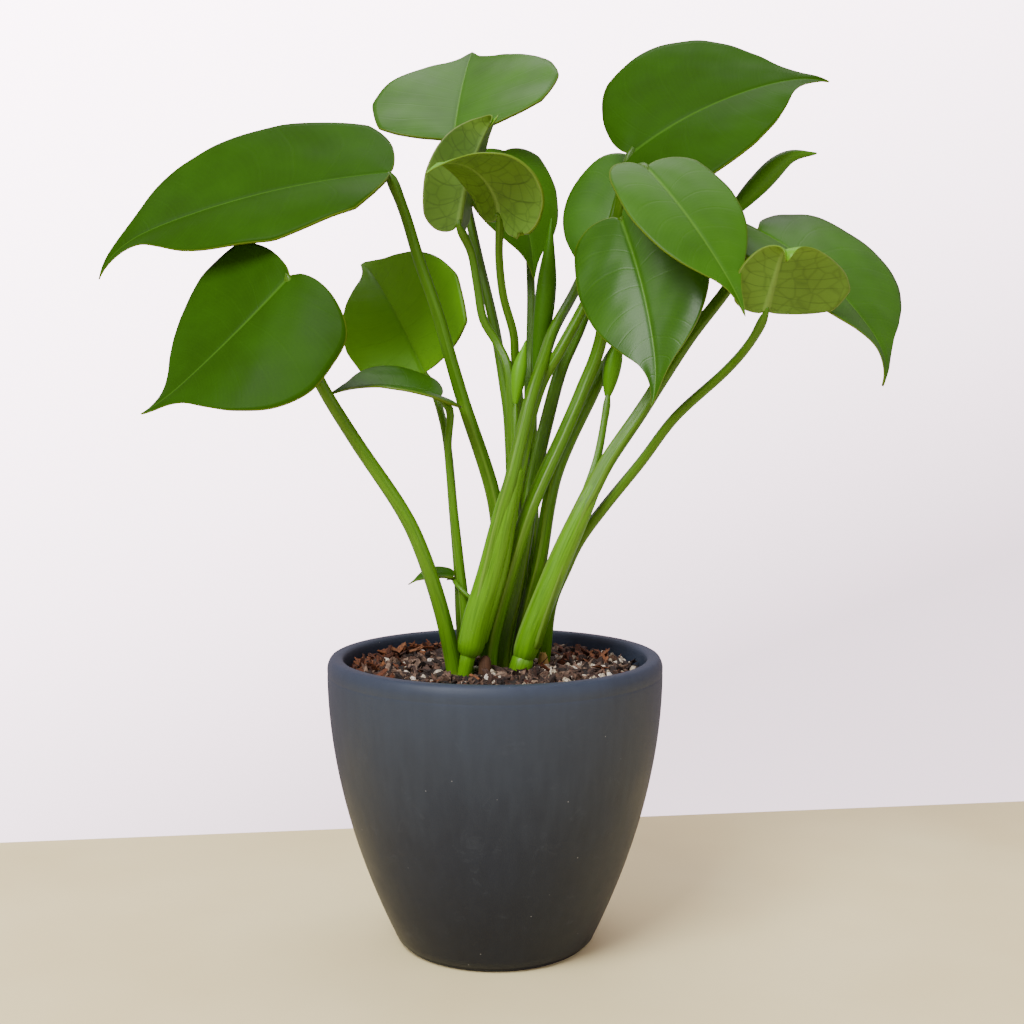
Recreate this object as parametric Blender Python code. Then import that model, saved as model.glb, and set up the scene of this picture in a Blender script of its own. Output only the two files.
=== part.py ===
"""A young heart-leaved monstera in a tapered plastic pot, as separate solids.

Metres, +Z up. The origin is the centre of the pot's flat underside, and the plant's best side looks along -Y.
The plant is placed from the crown: the point on the pot's axis at the level of the soil.
"""
import math
from typing import NamedTuple

import bmesh
import bpy
from mathutils import Matrix, Vector

MM = 0.001
GAP = 0.3 * MM                 # air between pieces that touch

# Pot: a thick moulded shell with a rounded rim and a small foot
POT_HEIGHT = 143 * MM
RIM_RADIUS = 82.4 * MM
FOOT_RADIUS = 47.5 * MM
FLARE_TOP = 135 * MM           # height at which the side has reached the rim's radius
FLARE_POWER = 1.9              # how early the side swells
RIM_WALL = 8 * MM
SIDE_WALL = 6 * MM
FLOOR = 7 * MM
RIM_ROUND = 3.6 * MM
SIDE_START = 1.4               # where the side starts, in foot rounds above the ground
CHAMFER_IN = 0.2               # the foot's flat chamfer, in foot rounds in from the side and up
CHAMFER_UP = 0.35
FOOT_ROUND = 3 * MM
INNER_STEPS = 7
DRAIN_RADIUS = 5 * MM
DRAIN_CIRCLE = 25 * MM
DRAINS = 4
POT_SIDES = 40

# Soil: the potting mix, filled to just under the rim
SOIL_DROP = 11 * MM
SOIL_MOUND = 1.5 * MM
SOIL_EDGE = 2 * MM

# Plant
GROWTH = 1.0                   # scales the whole plant about its crown
BLADE_THICKNESS = 0.9 * MM
BLADE_ROWS = 10
BLADE_COLUMNS = 2
STALK_SIDES = 8
STALK_STEP = 22 * MM           # distance between a stalk's rings
NECK = 0.8                     # a stalk's end under its blade, as a share of its upper radius

# Half of a blade laid flat: sideways as a share of the half's width, forwards as a share of the midrib
HALF_OUTLINE = ((0, 0), (.10, -.09), (.28, -.14), (.52, -.14), (.76, -.07), (.92, .06), (1, .23), (.98, .38),
                (.88, .52), (.69, .64), (.46, .73), (.25, .80), (.12, .87), (.05, .94), (0, 1))
FOLD_STEPS = 8                 # short steps in which a half's bend is added up
VEIN_LEAN = 1.35               # how far behind its own margin point each vein leaves the midrib


class Blade(NamedTuple):
    """One leaf blade. Points are millimetres from the crown, angles are degrees."""
    base: tuple                # where the stalk meets the blade
    tip: tuple                 # where the midrib has got to at the share `at` of its length
    faces: tuple               # compass turn from -Y towards +X, and rise, of the upper side
    halves: tuple              # widths of the left and right halves
    lobes: tuple = (1, 1)      # how far the two lobes reach back past the stalk
    droop: float = 20          # bend of the midrib along its length
    hook: float = 0            # further bend of the last part
    swing: float = 0           # sideways bend of the midrib
    hook_swing: float = 0      # further sideways bend of the last part
    twist: float = 0
    fold: tuple = (12, 12)     # rise of each half at the midrib
    curl: tuple = (-12, -12)   # further rise of each half at its margin
    lobe_droop: float = 15
    at: float = 1.0
    hook_from: float = 0.7


class Stalk(NamedTuple):
    """One leaf stalk. Points are millimetres from the crown, from the blade down."""
    route: tuple
    upper: float               # radius under the blade
    lower: float               # radius at the foot
    on: str = ''               # the sheath that it grows out of; a stalk with none is rooted in the soil
    beside: tuple = (0, 0)     # how far its foot is from that sheath's centre


class Furl(NamedTuple):
    """A leaf that is still rolled up: a spindle. Points are millimetres from the crown, from its foot up."""
    route: tuple
    radius: float


BLADES = {
    'upper_left': Blade((-51, 5, 246), (-198, 21, 196), (5, 60), (47, 49), (0, 0.1), 20, 40, -10, -10, 20,
                        (20, 15), (-40, -5)),
    'left': Blade((-95, -30, 193), (-163, -38, 130), (-15, 30), (52, 46), (.6, .3), -5, -15, 5, 5, -20,
                  (5, 0), (-30, -5)),
    'centre_left': Blade((-37, 45, 150), (-75, 92, 210), (-10, 5), (32, 42), (.1, 0), 25, 25, -15, -25, -10,
                         (15, 25), (-10, -5)),
    'edge_left': Blade((-27, 2, 138), (-81, -10, 138), (-10, 75), (32, 30), (1, .3), 40, 5, -5, 0, -5,
                       (15, 15), (-15, -15)),
    'top': Blade((-22, 50, 270), (-14, 120, 331), (-10, 45), (43, 57), (0, 0), 5, 0, 5, 0, 0,
                 (20, 25), (-25, -20)),
    'folded': Blade((-18, 14, 222), (-4, 8, 269), (185, 20), (18, 20), (.2, .3), 5, 70, -35, 0, 0,
                    (75, 10), (-10, -20), 15, .8, .8),
    'arching': Blade((3, -3, 225), (-32, -29, 240), (127, 66), (38, 20), (.8, .4), 130, 0, 0, 0, 0,
                     (10, 10), (-20, -20)),
    'mid_back': Blade((4, 57, 265), (20, 42, 197), (34, 15), (23, 33), (1, 1), 20, 0, 10, 0, 0,
                      (10, 10), (-10, -10)),
    'behind': Blade((71, 38, 252), (43, 30, 190), (-35, 25), (32, 30), (.8, .8), 20, 0, 0, 0, 0,
                    (10, 10), (-10, -10)),
    'heart_back': Blade((60, -10, 222), (71, -52, 133), (-20, 20), (34, 31), (.4, .2), 20, 0, 20, 20, 5,
                        (15, 0), (-10, -20)),
    'heart_front': Blade((70, -35, 242), (109, -78, 172), (10, 30), (27, 23), (.3, .8), 30, 10, -5, 5, 0,
                         (5, 5), (-10, -20)),
    'upper_right': Blade((67, 15, 257), (162, 9, 290), (0, 35), (51, 44), (0, 1), 45, 5, 5, 25, 15,
                         (5, 10), (-5, -15)),
    'right': Blade((127, -5, 217), (177, -47, 142), (40, 40), (47, 33), (.5, 1), 35, 55, 0, 0, 10,
                   (15, 10), (-5, -35)),
    'underside': Blade((120, -62, 175), (124, -76, 198), (185, 30), (35, 14), (.1, .2), 5, 150, 0, 0, 0,
                       (15, 20), (-25, -30), 15, .78, .75),
    'tiny': Blade((-21, -1, 50), (-43, -2, 46), (0, 70), (6, 6), (.4, .4), 50, 0, 0, 0, 0, (20, 20), (0, 0)),
}

STALKS = {
    'upper_left': Stalk(((-50, 6, 243), (-44, 8, 227), (-37, 8, 204), (-28, 6, 178), (-16, 4, 137),
                         (-1, 6, 90), (2, 8, 57), (-1, 11, 21), (-4, 12, -12)), 2.4, 4.2),
    'left': Stalk(((-93, -28, 186), (-88, -24, 162), (-82, -22, 144), (-66, -20, 117), (-45, -18, 85),
                   (-35, -17, 64), (-26, -13, 35), (-20, -10, 6), (-20, -10, -10)), 2.6, 4.1),
    'centre_left': Stalk(((-35, 47, 146), (-31, 42, 138), (-25, 30, 116), (-21, 13, 81), (-18, 4, 49),
                          (-17, 0, 28), (-14, 0, -12)), 1.9, 2.8),
    'edge_left': Stalk(((-24, 1, 134), (-22, 2, 130), (-23, 0, 113), (-21, -2, 90), (-17, -4, 54),
                        (-15, -6, 36), (-12, -6, -11)), 1.8, 2.6),
    'top': Stalk(((-21, 52, 266), (-16, 46, 241), (-9, 40, 209), (-1, 33, 175), (4, 28, 146), (7, 24, 121),
                  (8, 17, 76), (4, 18, 25), (2, 19, -13)), 2.3, 3.2),
    'folded': Stalk(((-18, 15, 219), (-12, 18, 209), (-9, 18, 193), (-6, 17, 176), (1, 16, 164),
                     (7, 10, 149), (8, 8, 121), (10, 10, 76), (10, 16, 25), (10, 17, -12)), 2.0, 2.8),
    'arching': Stalk(((3, -2, 222), (2, 4, 206), (4, 9, 187), (9, 14, 169), (10, 17, 155), (13, 20, 121),
                      (14, 24, 75), (13, 25, 24), (12, 26, -13)), 1.9, 2.8),
    'mid_back': Stalk(((5, 60, 262), (15, 64, 236), (18, 60, 202), (18, 46, 171), (17, 36, 151),
                       (17, 32, 121), (18, 31, 75), (19, 31, 23), (19, 31, -12)), 1.9, 3.0),
    'behind': Stalk(((70, 44, 249), (55, 52, 222), (40, 36, 191), (29, 12, 171), (23, -2, 154),
                     (17, -12, 136)), 2.3, 2.6, 'front', (-1.5, -3)),
    'heart_back': Stalk(((60, -6, 219), (52, 2, 199), (42, 4, 179), (31, 0, 159), (23, 0, 145),
                         (17, -6, 127)), 2.3, 2.6, 'front', (1.5, 3)),
    'heart_front': Stalk(((70, -31, 240), (67, -19, 243), (62, -4, 238), (59, 5, 212), (52, 7, 166),
                          (43, 6, 141), (33, 0, 118), (23, -6, 97), (15, -10, 78), (6, -9, 49),
                          (-2, -7, 18), (-4, -7, -11)), 2.6, 4.2),
    'upper_right': Stalk(((67, 18, 254), (56, 20, 215), (43, 18, 175), (33, 16, 152), (26, 13, 127),
                          (19, 8, 97), (15, 4, 70), (10, 3, 43), (4, 3, 16), (2, 3, -13)), 2.5, 4.4),
    'furled_right': Stalk(((112, 2, 222), (91, 12, 195), (72, 18, 176), (58, 20, 158), (47, 17, 136),
                           (37, 13, 116), (30, 9, 99), (26, 5, 82), (22, 3, 57), (17, 6, 37), (13, 8, 16),
                           (10, 9, -13)), 2.5, 4.0),
    'right': Stalk(((125, -3, 214), (120, 0, 203), (112, 1, 189), (95, 0, 167), (81, -1, 146),
                    (70, -3, 129)), 2.6, 3.4, 'right', (1, -1)),
    'underside': Stalk(((120, -62, 172), (115, -55, 162), (106, -39, 149), (86, -17, 128), (71, -4, 106),
                        (54, 2, 84), (42, 6, 67), (35, 9, 52), (28, 12, 34), (25, 14, 10), (23, 14, -13)),
                        2.0, 3.2),
    'small': Stalk(((56, 9, 138), (54, 7, 128)), 1.7, 1.9, 'right', (-3, 4)),
    'spear': Stalk(((20, 22, 149), (19, 24, 131), (19, 24, 101), (20, 23, 65), (22, 22, 24), (21, 22, -12)),
                    2.0, 2.8),
    'bud': Stalk(((10, -4, 133), (10, -8, 117), (11, -8.5, 101)), 1.4, 1.9),
    'tiny': Stalk(((-20.7, -3.4, 48), (-18, -9.5, 46), (-12.5, -13, 42)), .9, 1.1),
}

# Thick lower shoots in which two stalks run together, from their top down; their feet sit on the stems
SHEATHS = {
    'front': Stalk(((11, -17, 106), (5, -18, 84), (-1, -18, 55), (-7, -18.5, 31), (-10, -18, 14)),
                    5.2, 6.2),
    'right': Stalk(((51, -4, 102), (43, -6, 83), (34, -7, 61), (26, -8, 39), (20, -8, 22), (17, -8, 11)),
                    4.9, 6.0),
}
STEM_RADIUS = 3.8 * MM
STEM_ROOTED = 13 * MM          # how far a stem goes down into the soil

FURLS = {
    'furled_right': Furl(((113, 1, 225), (127, 4, 239), (142, 7, 253), (157, 10, 256)), 5.2),
    'small': Furl(((56, 10, 141), (59, 11, 156), (62, 12, 170)), 4.2),
    'spear': Furl(((20, 22, 152), (25, 21, 185), (28, 20, 226)), 5.0),
    'bud': Furl(((10, -3, 137), (12, -1, 150), (15, 1, 165)), 3.6),
}

FURL_RINGS = 9
FURL_FOOT = 0.06               # a rolled leaf swells and narrows as a half wave between these shares of it
FURL_TIP = 0.96
FURL_FULLNESS = 0.8            # below 1 the spindle is fuller than the half wave

# Dead bits at the crown: a brown stump, and a scrap of dry yellow sheath that stands on the soil
STUMP = Stalk(((-4.5, -17, 9), (-4.5, -17, 2), (-4.5, -17, -8)), 2.0, 2.6)
SCRAP_CENTRE = (25, 2)
SCRAP_WIDTH = 6 * MM
SCRAP_HEIGHT = 9 * MM
SCRAP_THICKNESS = 1 * MM
SCRAP_LEAN = 12                # degrees
SCRAP_TAPER = .6               # width at its top
SCRAP_SLANT = .2               # how far its top stands to one side, in widths

CROWN = Vector((0, 0, POT_HEIGHT - SOIL_DROP))


def crown_point(point):
    """Return the place of a point given in millimetres from the crown."""
    return CROWN + Vector(point) * MM * GROWTH


def smooth_line(points, count):
    """Return count places along a smooth line through the given points."""
    points = [Vector(p) for p in points]
    points = [points[0] * 2 - points[1], *points, points[-1] * 2 - points[-2]]
    spans = len(points) - 3
    line = []
    for step in range(count):
        place = spans * step / (count - 1)
        first = min(int(place), spans - 1)
        t = place - first
        a, b, c, d = points[first:first + 4]
        line.append((2 * b + (c - a) * t + (2 * a - 5 * b + 4 * c - d) * t ** 2
                     + (3 * b - a - 3 * c + d) * t ** 3) / 2)
    return line


def even_line(points, count):
    """Return count places along a smooth line, evenly spaced by distance."""
    fine = smooth_line(points, 40 * len(points))
    travelled = [0.0]
    for before, after in zip(fine, fine[1:]):
        travelled.append(travelled[-1] + (after - before).length)
    line, index = [], 0
    for step in range(count):
        want = travelled[-1] * step / (count - 1)
        while index < len(fine) - 2 and travelled[index + 1] < want:
            index += 1
        span = travelled[index + 1] - travelled[index]
        line.append(fine[index].lerp(fine[index + 1], (want - travelled[index]) / span if span else 0))
    return line


def line_length(points):
    """Return the length of a smooth line through the given points."""
    fine = smooth_line(points, 20 * len(points))
    return sum((b - a).length for a, b in zip(fine, fine[1:]))


def new_object(name, mesh, material=None):
    """Link a mesh to the scene as an object and give it its material."""
    piece = bpy.data.objects.new(name, mesh)
    bpy.context.scene.collection.objects.link(piece)
    if material:
        mesh.materials.append(material)
    return piece


def new_material(name, colour, roughness):
    """Return a plain material of one colour."""
    material = bpy.data.materials.new(name)
    material.use_nodes = True
    shader = material.node_tree.nodes['Principled BSDF']
    shader.inputs['Base Color'].default_value = (*colour, 1)
    shader.inputs['Roughness'].default_value = roughness
    return material


def mesh_of(bm, name, smooth=True):
    """Turn a bmesh into a mesh, with round parts shaded smooth."""
    bmesh.ops.recalc_face_normals(bm, faces=bm.faces)
    mesh = bpy.data.meshes.new(name)
    bm.to_mesh(mesh)
    bm.free()
    if smooth:
        mesh.shade_smooth()
        mesh.set_sharp_from_angle(angle=math.radians(50))
    return mesh


def tube_mesh(name, line, radii, sides=STALK_SIDES):
    """Return a closed tube along a line, with one radius for each of its rings."""
    bm = bmesh.new()
    rings, across = [], None
    for index, centre in enumerate(line):
        ahead = (line[min(index + 1, len(line) - 1)] - line[max(index - 1, 0)]).normalized()
        across = ahead.orthogonal() if across is None else across - ahead * across.dot(ahead)
        across.normalize()
        beyond = ahead.cross(across)
        turns = [2 * math.pi * side / sides for side in range(sides)]
        rings.append([bm.verts.new(centre + radii[index] * (across * math.cos(t) + beyond * math.sin(t)))
                      for t in turns])
    for lower, upper in zip(rings, rings[1:]):
        for side in range(sides):
            after = (side + 1) % sides
            bm.faces.new((lower[side], lower[after], upper[after], upper[side]))
    bm.faces.new(rings[0])
    bm.faces.new(rings[-1])
    return mesh_of(bm, name)


def lathe_mesh(name, profile, sides):
    """Return a profile of (radius, height) turned about Z; a radius of 0 is a pole."""
    bm = bmesh.new()
    rings = []
    for radius, height in profile:
        if radius:
            turns = [2 * math.pi * side / sides for side in range(sides)]
            rings.append([bm.verts.new((radius * math.cos(t), radius * math.sin(t), height)) for t in turns])
        else:
            rings.append([bm.verts.new((0, 0, height))] * sides)
    for lower, upper in zip(rings, rings[1:]):
        for side in range(sides):
            after = (side + 1) % sides
            corners = dict.fromkeys((lower[side], lower[after], upper[after], upper[side]))
            bm.faces.new(tuple(corners))
    return mesh_of(bm, name)


def cut(piece, mesh):
    """Cut a closed mesh out of a piece."""
    cutter = new_object('cut_' + mesh.name, mesh)
    cutter.hide_render = True
    cutter.display_type = 'WIRE'
    boolean = piece.modifiers.new(cutter.name, 'BOOLEAN')
    boolean.operation = 'DIFFERENCE'
    boolean.solver = 'EXACT'
    boolean.object = cutter


# ---- Pot and soil

def outer_radius(height):
    """Return the radius of the pot's side at a height."""
    rise = min(height / FLARE_TOP, 1)
    return FOOT_RADIUS + (RIM_RADIUS - FOOT_RADIUS) * (1 - (1 - rise) ** FLARE_POWER)


def inner_wall():
    """Return the pot's inside as (radius, height) points from the rim down: the wall thins below the rim."""
    top = POT_HEIGHT - RIM_ROUND
    heights = [top + (FLOOR - top) * step / INNER_STEPS for step in range(INNER_STEPS + 1)]
    return [(min(RIM_RADIUS - RIM_WALL, outer_radius(h) - SIDE_WALL), h) for h in heights]


def inner_radius(height):
    """Return the radius of the pot's faceted inside at a height."""
    wall = inner_wall()
    for (upper_radius, upper), (lower_radius, lower) in zip(wall, wall[1:]):
        if lower <= height <= upper:
            return lower_radius + (upper_radius - lower_radius) * (height - lower) / (upper - lower)
    return wall[0][0]


def arc(centre_radius, centre_height, radius, start, end, steps):
    """Return profile points on a quarter turn, by angles in degrees."""
    angles = [math.radians(start + (end - start) * step / steps) for step in range(steps + 1)]
    return [(centre_radius + radius * math.cos(a), centre_height + radius * math.sin(a)) for a in angles]


def build_pot(material):
    """Make the pot: a turned shell with a rounded rim and drain holes through its floor."""
    side_bottom = FOOT_ROUND * SIDE_START
    rim_bottom = POT_HEIGHT - RIM_ROUND
    side_heights = [side_bottom + (rim_bottom - side_bottom) * step / 9 for step in range(10)]
    profile = [(0, 0), (FOOT_RADIUS - FOOT_ROUND, 0)]
    profile.append((FOOT_RADIUS - FOOT_ROUND * CHAMFER_IN, FOOT_ROUND * CHAMFER_UP))
    profile += [(outer_radius(h), h) for h in side_heights]
    profile += arc(RIM_RADIUS - RIM_ROUND, rim_bottom, RIM_ROUND, 30, 90, 2)
    profile += arc(RIM_RADIUS - RIM_WALL + RIM_ROUND, rim_bottom, RIM_ROUND, 90, 150, 2)
    profile += inner_wall() + [(0, FLOOR)]
    pot = new_object('pot', lathe_mesh('pot', profile, POT_SIDES), material)
    for drain in range(DRAINS):
        turn = 2 * math.pi * drain / DRAINS
        place = Vector((math.cos(turn), math.sin(turn), 0)) * DRAIN_CIRCLE
        ends = [place + Vector((0, 0, -FLOOR)), place + Vector((0, 0, 2 * FLOOR))]
        cut(pot, tube_mesh(f'drain_{drain}', ends, [DRAIN_RADIUS] * 2, 12))


def build_soil(material):
    """Make the potting mix that fills the pot, and return it for the stalks' holes."""
    top = CROWN.z
    bottom = FLOOR + GAP
    edge = top - SOIL_EDGE
    heights = [bottom] + [h for _, h in reversed(inner_wall()) if bottom < h < edge] + [edge]
    profile = [(0, bottom)] + [(inner_radius(h) - GAP, h) for h in heights]
    profile += [(inner_radius(edge) - GAP - SOIL_EDGE, top), (inner_radius(edge) / 2, top + SOIL_MOUND * .6),
                (0, top + SOIL_MOUND)]
    return new_object('soil', lathe_mesh('soil', profile, POT_SIDES), material)


# ---- Leaves

def midrib_frames(blade, places):
    """Return the midrib's place and its forward, sideways and upward directions at shares of its length."""
    step = 0.01
    frames = {}

    def directions(y):
        hooked = max(0, (y - blade.hook_from) / (1 - blade.hook_from)) ** 2
        if y < 0:
            pitch, yaw, roll = blade.lobe_droop * y / .15, 0, 0
        else:
            pitch = blade.droop * y + blade.hook * hooked
            yaw = blade.swing * y ** 1.5 + blade.hook_swing * hooked
            roll = blade.twist * y
        turn = Matrix.Rotation(-math.radians(yaw), 3, 'Z') @ Matrix.Rotation(-math.radians(pitch), 3, 'X')
        turn = turn @ Matrix.Rotation(-math.radians(roll), 3, 'Y')
        return turn.col[1].copy(), turn.col[0].copy(), turn.col[2].copy()

    for way in (1, -1):
        centre, y = Vector((0, 0, 0)), 0.0
        for target in sorted((p for p in places if p * way >= 0), key=abs):
            while abs(y) < abs(target) - 1e-9:
                move = min(step, abs(target) - abs(y)) * way
                centre = centre + directions(y + move / 2)[0] * move
                y += move
            frames[target] = (centre.copy(), *directions(target))
    return frames


def facing(blade):
    """Return the direction that a blade's upper side faces."""
    turn, rise = (math.radians(a) for a in blade.faces)
    return Vector((math.sin(turn) * math.cos(rise), -math.cos(turn) * math.cos(rise), math.sin(rise)))


def axes(along, up):
    """Return a matrix whose columns are sideways, along and up."""
    along = along.normalized()
    up = (up - along * up.dot(along)).normalized()
    return Matrix((along.cross(up), along, up)).transposed()


def blade_point(blade, side, across, forward):
    """Return where a point of the flat outline goes on the bent blade, before it is placed and sized."""
    half, fold, curl, lobe = (pair[side] for pair in (blade.halves, blade.fold, blade.curl, blade.lobes))
    forward = forward * lobe if forward < 0 else forward
    out = up = 0.0
    for step in range(FOLD_STEPS):
        angle = math.radians(fold + curl * across * (step + .5) / FOLD_STEPS)
        out += math.cos(angle) * across / FOLD_STEPS
        up += math.sin(angle) * across / FOLD_STEPS
    return forward, (out if side else -out) * half, up * half


def build_blade(name, blade, material):
    """Make one open leaf blade as a thin closed sheet: upper side on the surface, thickness below it."""
    outline = [(p.x, p.y) for p in even_line([(x, y, 0) for x, y in HALF_OUTLINE], BLADE_ROWS + 1)]
    cells = {}
    for side in (0, 1):
        for row, (edge_x, edge_y) in enumerate(outline):
            rib = (row / BLADE_ROWS) ** VEIN_LEAN
            for column in range(BLADE_COLUMNS + 1):
                share = column / BLADE_COLUMNS
                cells[side, row, column] = blade_point(blade, side, max(edge_x, 0) * share,
                                                       rib + (edge_y - rib) * share)
    frames = midrib_frames(blade, {cell[0] for cell in cells.values()} | {blade.at})
    start, aim = crown_point(blade.base), crown_point(blade.tip)
    reach = frames[blade.at][0]
    length = (aim - start).length / reach.length
    turn = axes(aim - start, facing(blade)) @ axes(reach, Vector((0, 0, 1))).transposed()

    bm = bmesh.new()
    verts = {}
    for (side, row, column), (forward, out, up) in cells.items():
        pole = row in (0, BLADE_ROWS)
        key = (0, row, 0) if pole or column == 0 else (side, row, column)
        if key not in verts:
            centre, _, sideways, upward = frames[forward]
            local = centre * length + (sideways * out + upward * up) * MM * GROWTH
            verts[key] = bm.verts.new(start + turn @ local)
        verts[side, row, column] = verts[key]
    for side in (0, 1):
        for row in range(BLADE_ROWS):
            for column in range(BLADE_COLUMNS):
                corners = [verts[side, row, column], verts[side, row, column + 1],
                           verts[side, row + 1, column + 1], verts[side, row + 1, column]]
                corners = list(dict.fromkeys(corners))
                if len(corners) > 2:
                    bm.faces.new(corners if side else corners[::-1])
    mesh = bpy.data.meshes.new(name)
    bm.to_mesh(mesh)
    bm.free()
    mesh.shade_smooth()
    piece = new_object('leaf_' + name, mesh, material)
    sheet = piece.modifiers.new('thickness', 'SOLIDIFY')
    sheet.thickness = BLADE_THICKNESS
    sheet.offset = -1
    return piece


def stalk_line(stalk):
    """Return a stalk's rings' centres, from the blade to its foot, which meets its sheath's top squarely."""
    route = [crown_point(p) for p in stalk.route]
    foot = []
    if stalk.on:
        host = stalk_line(SHEATHS[stalk.on])
        ahead = (host[0] - host[1]).normalized()
        beside = Vector((*stalk.beside, 0)) * MM * GROWTH
        foot = [host[0] + ahead * GAP + beside - ahead * beside.dot(ahead)]
        route.append(foot[0] + ahead * STALK_STEP * GROWTH / 2)
    count = max(4, round(line_length(route) / (STALK_STEP * GROWTH)) + 1)
    return even_line(route, count) + foot


def build_stalk(name, stalk, material, soil=None):
    """Make one stalk; one that is rooted gets its own hole in the soil."""
    line = stalk_line(stalk)
    count = len(line)
    taper = (stalk.lower - stalk.upper) / (count - 1)
    radii = [(stalk.upper + taper * i) * MM * GROWTH for i in range(count)]
    radii[0] *= NECK
    piece = new_object(name, tube_mesh(name, line, radii), material)
    if soil:
        end = (line[-1] - line[-2]).normalized()
        wide = [r + GAP for r in radii]
        cut(soil, tube_mesh('hole_' + name, line[:-1] + [line[-1] + end * GAP], wide))
    return piece


def build_furl(name, furl, material):
    """Make one rolled leaf as a slim spindle."""
    line = even_line([crown_point(p) for p in furl.route], FURL_RINGS)
    along = [FURL_FOOT + (FURL_TIP - FURL_FOOT) * i / (FURL_RINGS - 1) for i in range(FURL_RINGS)]
    radii = [furl.radius * math.sin(math.pi * place) ** FURL_FULLNESS * MM * GROWTH for place in along]
    return new_object('leaf_' + name, tube_mesh(name, line, radii), material)


def build_stem(name, sheath, material, soil):
    """Make the short stem under a sheath: it carries on down from the sheath's foot into the soil."""
    host = stalk_line(sheath)
    ahead = (host[-1] - host[-2]).normalized()
    top = host[-1] + ahead * GAP
    bottom = top + ahead * (CROWN.z - STEM_ROOTED - top.z) / ahead.z
    radius = STEM_RADIUS * GROWTH
    new_object('stem_' + name, tube_mesh('stem_' + name, [top, bottom], [radius] * 2), material)
    cut(soil, tube_mesh('hole_stem_' + name, [top, bottom + ahead * GAP], [radius + GAP] * 2))


def build_scrap(material):
    """Make the scrap of dry sheath: a small bent plate standing on the soil."""
    bm = bmesh.new()
    bmesh.ops.create_cube(bm, size=1)
    bmesh.ops.scale(bm, vec=(SCRAP_WIDTH, SCRAP_THICKNESS, SCRAP_HEIGHT), verts=bm.verts)
    upper = [v for v in bm.verts if v.co.z > 0]
    bmesh.ops.scale(bm, vec=(SCRAP_TAPER, 1, 1), verts=upper)
    bmesh.ops.translate(bm, vec=(-SCRAP_WIDTH * SCRAP_SLANT, 0, 0), verts=upper)
    scrap = new_object('dry_sheath', mesh_of(bm, 'dry_sheath', smooth=False), material)
    lift = SCRAP_HEIGHT / 2 + SOIL_MOUND + SCRAP_THICKNESS
    scrap.location = CROWN + Vector((*SCRAP_CENTRE, 0)) * MM * GROWTH + Vector((0, 0, lift))
    scrap.rotation_euler = (0, math.radians(SCRAP_LEAN), math.radians(SCRAP_LEAN))


def main():
    """Clear the scene and build every piece."""
    for old in list(bpy.data.objects):
        bpy.data.objects.remove(old, do_unlink=True)
    plastic = new_material('moulded_plastic', (.035, .038, .045), .5)
    mix = new_material('potting_mix', (.06, .035, .022), .95)
    leaf_green = new_material('leaf_green', (.035, .15, .012), .35)
    stalk_green = new_material('stalk_green', (.10, .25, .02), .4)
    husk = new_material('dry_husk', (.35, .24, .10), .8)

    build_pot(plastic)
    soil = build_soil(mix)
    for name, blade in BLADES.items():
        build_blade(name, blade, leaf_green)
    for name, furl in FURLS.items():
        build_furl(name, furl, leaf_green)
    for name, stalk in STALKS.items():
        rooted = not stalk.on and stalk.route[-1][2] < 0
        build_stalk('stalk_' + name, stalk, stalk_green, soil if rooted else None)
    for name, sheath in SHEATHS.items():
        build_stalk('sheath_' + name, sheath, stalk_green)
        build_stem(name, sheath, stalk_green, soil)
    build_stalk('dead_stump', STUMP, husk, soil)
    build_scrap(husk)


main()
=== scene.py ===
"""Looks of a young heart-leaved monstera that grows in a moulded plastic pot.

Everything is in metres, +Z up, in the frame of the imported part. The tables give millimetres from the crown:
the point on the pot's axis at the level of the soil.
"""

import logging
import math
import random
from collections.abc import Callable
from dataclasses import dataclass, replace
from enum import Enum

import bpy
import numpy as np
from mathutils import Euler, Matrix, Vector


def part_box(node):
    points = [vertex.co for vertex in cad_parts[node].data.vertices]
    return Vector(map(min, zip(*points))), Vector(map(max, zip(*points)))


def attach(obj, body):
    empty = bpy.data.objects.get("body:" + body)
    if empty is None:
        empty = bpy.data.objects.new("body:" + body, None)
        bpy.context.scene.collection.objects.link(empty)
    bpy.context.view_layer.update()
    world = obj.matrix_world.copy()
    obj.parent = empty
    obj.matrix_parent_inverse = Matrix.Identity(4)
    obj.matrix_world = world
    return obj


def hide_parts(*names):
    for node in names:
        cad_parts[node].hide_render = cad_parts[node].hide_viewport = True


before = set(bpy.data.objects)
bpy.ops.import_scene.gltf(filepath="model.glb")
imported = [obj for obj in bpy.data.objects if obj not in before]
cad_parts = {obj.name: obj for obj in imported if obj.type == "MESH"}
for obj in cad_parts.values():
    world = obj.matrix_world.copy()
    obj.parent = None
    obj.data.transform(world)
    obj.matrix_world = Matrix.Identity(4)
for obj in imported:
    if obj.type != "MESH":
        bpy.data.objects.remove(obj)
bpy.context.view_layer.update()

MM = 0.001
ROOT = "root"
LOG = logging.getLogger("monstera")
Socket = bpy.types.NodeSocket

POT_LOW, POT_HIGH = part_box("pot")
SOIL_LOW, SOIL_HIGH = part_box("soil")
POT_HEIGHT = POT_HIGH.z
RIM_RADIUS = (POT_HIGH.x - POT_LOW.x) / 2
SOIL_MOUND = 1.5 * MM
SOIL_RADIUS = (SOIL_HIGH.x - SOIL_LOW.x) / 2
CROWN = np.array((0, 0, SOIL_HIGH.z - SOIL_MOUND))


class Slot(Enum):
    """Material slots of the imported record."""

    PLASTIC = "moulded_plastic"
    MIX = "potting_mix"
    LEAF = "leaf_green"
    STALK = "stalk_green"
    HUSK = "dry_husk"


# ---- Routes and other small tools


def crown_points(points: tuple) -> np.ndarray:
    """Return places in metres for points given in millimetres from the crown."""
    return CROWN + np.array(points, float) * MM


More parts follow.
